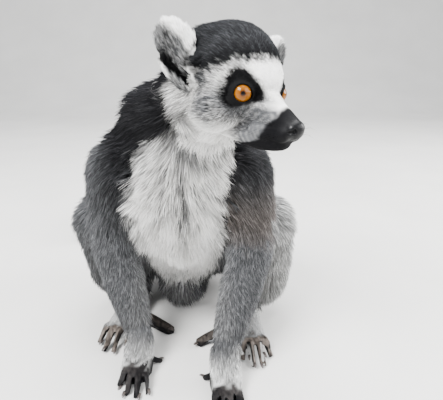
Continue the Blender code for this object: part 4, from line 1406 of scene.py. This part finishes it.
def build_nails():
    """One nail modelled once and set on every digit."""
    deselect()
    bpy.ops.mesh.primitive_cylinder_add(vertices=16, radius=0.0014, depth=0.0046, rotation=(math.pi / 2, 0, 0))
    nail = bpy.context.view_layer.objects.active
    bpy.ops.object.transform_apply(location=True, rotation=True, scale=True)
    bpy.ops.object.mode_set(mode="EDIT")
    bpy.ops.mesh.select_all(action="SELECT")
    bpy.ops.transform.resize(value=(1, 1, 0.45))
    bpy.ops.mesh.select_all(action="DESELECT")
    bpy.ops.object.mode_set(mode="OBJECT")
    for face in nail.data.polygons:
        face.select = face.normal.y < -0.9
    bpy.ops.object.mode_set(mode="EDIT")
    bpy.ops.mesh.extrude_region_move(TRANSFORM_OT_translate={"value": (0, -0.0013, -0.0005)})
    bpy.ops.transform.resize(value=(0.78, 1, 0.7))
    bpy.ops.mesh.extrude_region_move(TRANSFORM_OT_translate={"value": (0, -0.0009, -0.0006)})
    bpy.ops.transform.resize(value=(0.45, 1, 0.5))
    bpy.ops.object.mode_set(mode="OBJECT")
    modify(nail, "BEVEL", width=0.0002, segments=2)
    modify(nail, "SUBSURF", levels=1, render_levels=1)
    bpy.ops.object.shade_smooth()
    horn = horn_material()
    for node in HEADING:
        group = []
        for _, tip, direction, width in digit_places(node):
            copy = link("nail", nail.data.copy())
            turn = direction.to_track_quat("-Y", "Z").to_matrix().to_4x4()
            size = Matrix.Diagonal((width / 2.8, 0.9 + 0.1 * width / 2.8, 1, 1))
            place = tip - direction * 0.0026 + Vector((0, 0, 0.0012))
            copy.data.transform(Matrix.Translation(place) @ turn @ size)
            group.append(copy)
        piece = join("nails_" + node, group)
        piece.data.materials.clear()
        piece.data.materials.append(horn)
        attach(piece, "root")
    bpy.data.objects.remove(nail)


def build_whiskers():
    """Fine black bristles on the upper lips, each a tapering tuft that bends down and back."""
    fields = WORK["fields"]
    rng = np.random.default_rng(11)
    matrix = head_matrix()
    turn = np.array(matrix.to_3x3())
    q, n = fields["head"], fields["n"]
    roots, ways = [], []
    for way in SIDES.values():
        spots = [(way * (8.5 + 0.4 * a), -54 + 3.4 * a, -23 + 2.6 * b) for a in range(3) for b in (-1, 0, 1)]
        for spot in spots:
            index = np.argmin(np.linalg.norm(q - np.array(spot), axis=1))
            roots.append(index)
            ways.append(way)
    index = np.array(roots)
    root, normal = fields["p"][index], n[index]
    count = len(ways)
    out = np.stack([np.array(ways) * 0.75, np.full(count, 0.35), rng.uniform(-0.35, 0.1, count)], 1) @ turn.T
    first = unit(normal * 0.8 + out)
    size = rng.uniform(0.014, 0.026, len(index))[:, None]
    bend = unit(first + np.array((0, 0, -0.5)) + 0.5 * unit(out))
    curve = np.stack([root - normal * 0.0008, root + first * size * 0.25, root + first * size * 0.55,
                      root + first * size * 0.7 + bend * size * 0.5], 1)
    widths = np.tile((0.00020, 0.00013), (len(index), 1))
    side = unit(np.cross(first, (0, 0, 1.0)))
    rgb = np.tile(np.array(bpy.context.scene.lemur_colours.black), (len(index), 1))
    mesh = tuft_mesh("whiskers", curve, widths, side, unit(np.cross(side, first)), rgb,
                     unwrap_round(root, matrix.translation, matrix @ Vector((0, -0.06, 0))), None)
    piece = link("whiskers", mesh)
    piece.data.materials.append(coat_material())
    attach(piece, "root")


def grow_coat():
    """All the pieces of the coat, from the face to the feet."""
    fields = WORK["fields"]
    kinds, names, q = fields["kinds"], fields["names"], fields["head"]
    matrix = head_matrix()
    nose, back = matrix @ Vector((0, -0.06, -0.01)), matrix @ Vector((0, 0.04, -0.01))

    def is_node(*wanted):
        return np.isin(names, [FLESH.index(n) for n in wanted])

    def limb(points, top, bottom):
        return unwrap_round(points, centre(top), centre(bottom))

    def round_head(points):
        return unwrap_round(points, back, nose)

    def round_trunk(points):
        return unwrap_round(points, foot_of, top_of)

    head = kinds == "head"
    grow("coat_face", fields, head & (q[:, 1] < -6), 31000, 1, round_head, 1,
         width=0.80, clump_size=0.003)
    crown = q[:, 2] > np.interp(q[:, 1], (-10, 0, 20, 50), (9, 9, 6, 0))
    grow("coat_crown", fields, head & (q[:, 1] > -9) & crown, 26000, 1, round_head, 2,
         width=0.80, clump_size=0.003)
    edges = edges_of(bpy.data.objects["skin"].data)
    low = spread((head & ~crown).astype(float), edges, 2) > 0.02
    grow("coat_ruff", fields, head & (q[:, 1] > -9) & low, 13500, 2, round_head, 13,
         width=0.95, clump_size=0.005)
    rise = Vector((0, 0, 0.02))
    ears = [(centre("ear_" + s) - rise, centre("ear_" + s) + rise) for s in SIDES]
    grow("coat_ears", fields, kinds == "ear", 15000, 1, lambda p: unwrap_pair(p, *ears), 3, clump_size=0.004)
    t, outward = on_ear(q)
    rim = (kinds == "ear") & ((t > 0.62) | (outward > 11) | (outward < -9))
    grow("coat_fringe", fields, rim, 2000, 2, lambda p: unwrap_pair(p, *ears), 14, stretch=1.05, width=0.8,
         clump_size=0.004, lift=0.7)
    torso = is_node("trunk", "neck")
    front = torso & (fields["p"][:, 1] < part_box("trunk")[0].y + 0.105) & (fields["p"][:, 2] > 0.045)
    foot_of, top_of = centre("trunk") - Vector((0, 0, 0.1)), centre("trunk") + Vector((0, 0, 0.1))
    grow("coat_breast", fields, front, 16000, 2, round_trunk, 4, clump_size=0.008)
    near_front = spread(front.astype(float), edges, 3) > 0.9
    grow("coat_back", fields, torso & ~near_front, 24000, 1, round_trunk, 5,
         width=1.15, clump_size=0.007)
    for n, side in enumerate(SIDES):
        arm = is_node("upper_arm_" + side, "forearm_" + side)
        grow("coat_arm_" + side, fields, arm, 17000, 1,
             lambda p: limb(p, "upper_arm_" + side, "hand_" + side), 6 + n, clump_size=0.005)
        leg = is_node("thigh_" + side, "shank_" + side)
        grow("coat_leg_" + side, fields, leg, 13000, 1,
             lambda p: limb(p, "thigh_" + side, "foot_" + side), 8 + n, width=1.1, clump_size=0.006)
    grow("coat_tail", fields, kinds == "tail", 19000, 1, unwrap_tail, 10, width=1.1, clump_size=0.006)
    for n, (part, plural) in enumerate((("hand", "hands"), ("foot", "feet"))):
        ends = [(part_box(part + "_" + s)[0] * 1.0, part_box(part + "_" + s)[0] + Vector((0, 0.06, 0))) for s in SIDES]
        grow("coat_" + plural, fields, kinds == part, 5000, 1, lambda p: unwrap_pair(p, *ends), 11 + n,
             clump_size=0.003)
    for piece in bpy.data.objects:
        if piece.name.startswith("coat_"):
            part = piece.name.split("_")[1]


# Each lamp: its place from the trunk's middle, its size (m) and its power (W).
LAMPS = {"key": ((-0.8, -1.0, 1.5), 0.8, 108), "fill": ((1.3, -0.8, 1.0), 1.2, 31),
         "top": ((0.1, 0.3, 1.9), 1.5, 70), "rim": ((1.5, 0.3, 0.7), 0.7, 42)}
SENSOR = 36
VIEW_WIDTH, VIEW_DISTANCE, VIEW_DROP = 443, 420, 137    # the view's width, distance and fall, in one unit
CAMERA_FROM_HEAD = (-0.0110, -0.3180, 0.0160)


def build_stage():
    """The pale board, four soft lamps, the room's light and the camera."""
    deselect()
    bpy.ops.mesh.primitive_plane_add(size=6)
    floor = bpy.context.view_layer.objects.active
    floor.name = "floor"
    # The board sweeps up behind into a wall, with a rounded bend.
    board = floor.data
    for edge in board.edges:
        edge.select = all(board.vertices[v].co.y > 2.9 for v in edge.vertices)
    for face in board.polygons:
        face.select = False
    for vertex in board.vertices:
        vertex.select = vertex.co.y > 2.9
    bpy.ops.object.mode_set(mode="EDIT")
    bpy.context.tool_settings.mesh_select_mode = (False, True, False)
    bpy.ops.mesh.extrude_region_move(TRANSFORM_OT_translate={"value": (0, 0, 3)})
    bpy.ops.object.mode_set(mode="OBJECT")
    modify(floor, "BEVEL", width=1.2, segments=12, limit_method="ANGLE")
    bpy.ops.object.shade_smooth()
    floor.data.materials.append(floor_material())
    middle = centre("trunk")
    for name, (place, size, power) in LAMPS.items():
        data = bpy.data.lights.new(name, "AREA")
        data.energy = power
        data.size = size
        lamp = bpy.data.objects.new(name, data)
        bpy.context.scene.collection.objects.link(lamp)
        lamp.location = Vector(place) + Vector((middle.x, middle.y, 0))
        lamp.rotation_euler = (middle - lamp.location).to_track_quat("-Z", "Y").to_euler()
    world = bpy.data.worlds.new("soft_room")
    bpy.context.scene.world = world
    world.use_nodes = True
    background = world.node_tree.nodes["Background"]
    background.inputs["Color"].default_value = (0.93, 0.95, 1.0, 1)
    background.inputs["Strength"].default_value = 1.08
    data = bpy.data.cameras.new("camera")
    data.sensor_width = SENSOR
    data.lens = SENSOR * VIEW_DISTANCE / VIEW_WIDTH
    camera = bpy.data.objects.new("camera", data)
    bpy.context.scene.collection.objects.link(camera)
    camera.location = head_matrix().translation + Vector(CAMERA_FROM_HEAD)
    camera.rotation_euler = (math.pi / 2 - math.atan(VIEW_DROP / VIEW_DISTANCE), 0, 0)
    bpy.context.scene.camera = camera


# ---------------------------------------------------------------- operators, panel and run
class LEMUR_OT_skin(bpy.types.Operator):
    """Builds the one skin that stands for every solid of flesh"""
    bl_idname = "lemur.skin"
    bl_label = "Skin"

    def execute(self, context):
        dress_skin()
        return {"FINISHED"}


class LEMUR_OT_eyes(bpy.types.Operator):
    """Sets both eyeballs behind their lids"""
    bl_idname = "lemur.eyes"
    bl_label = "Eyes"

    def execute(self, context):
        for side in SIDES:
            build_eye(side)
        return {"FINISHED"}


class LEMUR_OT_nails(bpy.types.Operator):
    """Models one nail and sets a copy on every digit"""
    bl_idname = "lemur.nails"
    bl_label = "Nails"

    def execute(self, context):
        build_nails()
        return {"FINISHED"}


class LEMUR_OT_whiskers(bpy.types.Operator):
    """Adds the bristles of the upper lips"""
    bl_idname = "lemur.whiskers"
    bl_label = "Whiskers"

    def execute(self, context):
        build_whiskers()
        return {"FINISHED"}


class LEMUR_OT_coat(bpy.types.Operator):
    """Grows the coat as overlapping tufts, part by part"""
    bl_idname = "lemur.coat"
    bl_label = "Coat"

    def execute(self, context):
        grow_coat()
        return {"FINISHED"}


class LEMUR_OT_stage(bpy.types.Operator):
    """Adds the floor, the lights and the camera"""
    bl_idname = "lemur.stage"
    bl_label = "Stage"

    def execute(self, context):
        build_stage()
        return {"FINISHED"}


OPERATORS = (LEMUR_OT_skin, LEMUR_OT_eyes, LEMUR_OT_nails, LEMUR_OT_whiskers, LEMUR_OT_coat, LEMUR_OT_stage)
GROUPS = {"lemur_face": LemurFace, "lemur_coat": LemurCoat, "lemur_colours": LemurColours}


class LEMUR_PT_panel(bpy.types.Panel):
    """Lists the lemur's sizes, colours and pieces"""
    bl_idname = "LEMUR_PT_panel"
    bl_label = "Lemur"
    bl_space_type = "VIEW_3D"
    bl_region_type = "UI"
    bl_category = "Lemur"

    def draw(self, context):
        for name, group in GROUPS.items():
            column = self.layout.column(align=True)
            for key in group.__annotations__:
                column.prop(getattr(context.scene, name), key)
        for operator in OPERATORS:
            self.layout.operator(operator.bl_idname)


def register():
    for item in (*GROUPS.values(), *OPERATORS, LEMUR_PT_panel):
        bpy.utils.register_class(item)
    for name, group in GROUPS.items():
        setattr(bpy.types.Scene, name, bpy.props.PointerProperty(type=group))


def unregister():
    for name in GROUPS:
        delattr(bpy.types.Scene, name)
    for item in (LEMUR_PT_panel, *reversed(OPERATORS), *GROUPS.values()):
        bpy.utils.unregister_class(item)


def main():
    register()
    for step in ("skin", "eyes", "nails", "whiskers", "coat", "stage"):
        getattr(bpy.ops.lemur, step)()


if __name__ == "__main__":
    main()
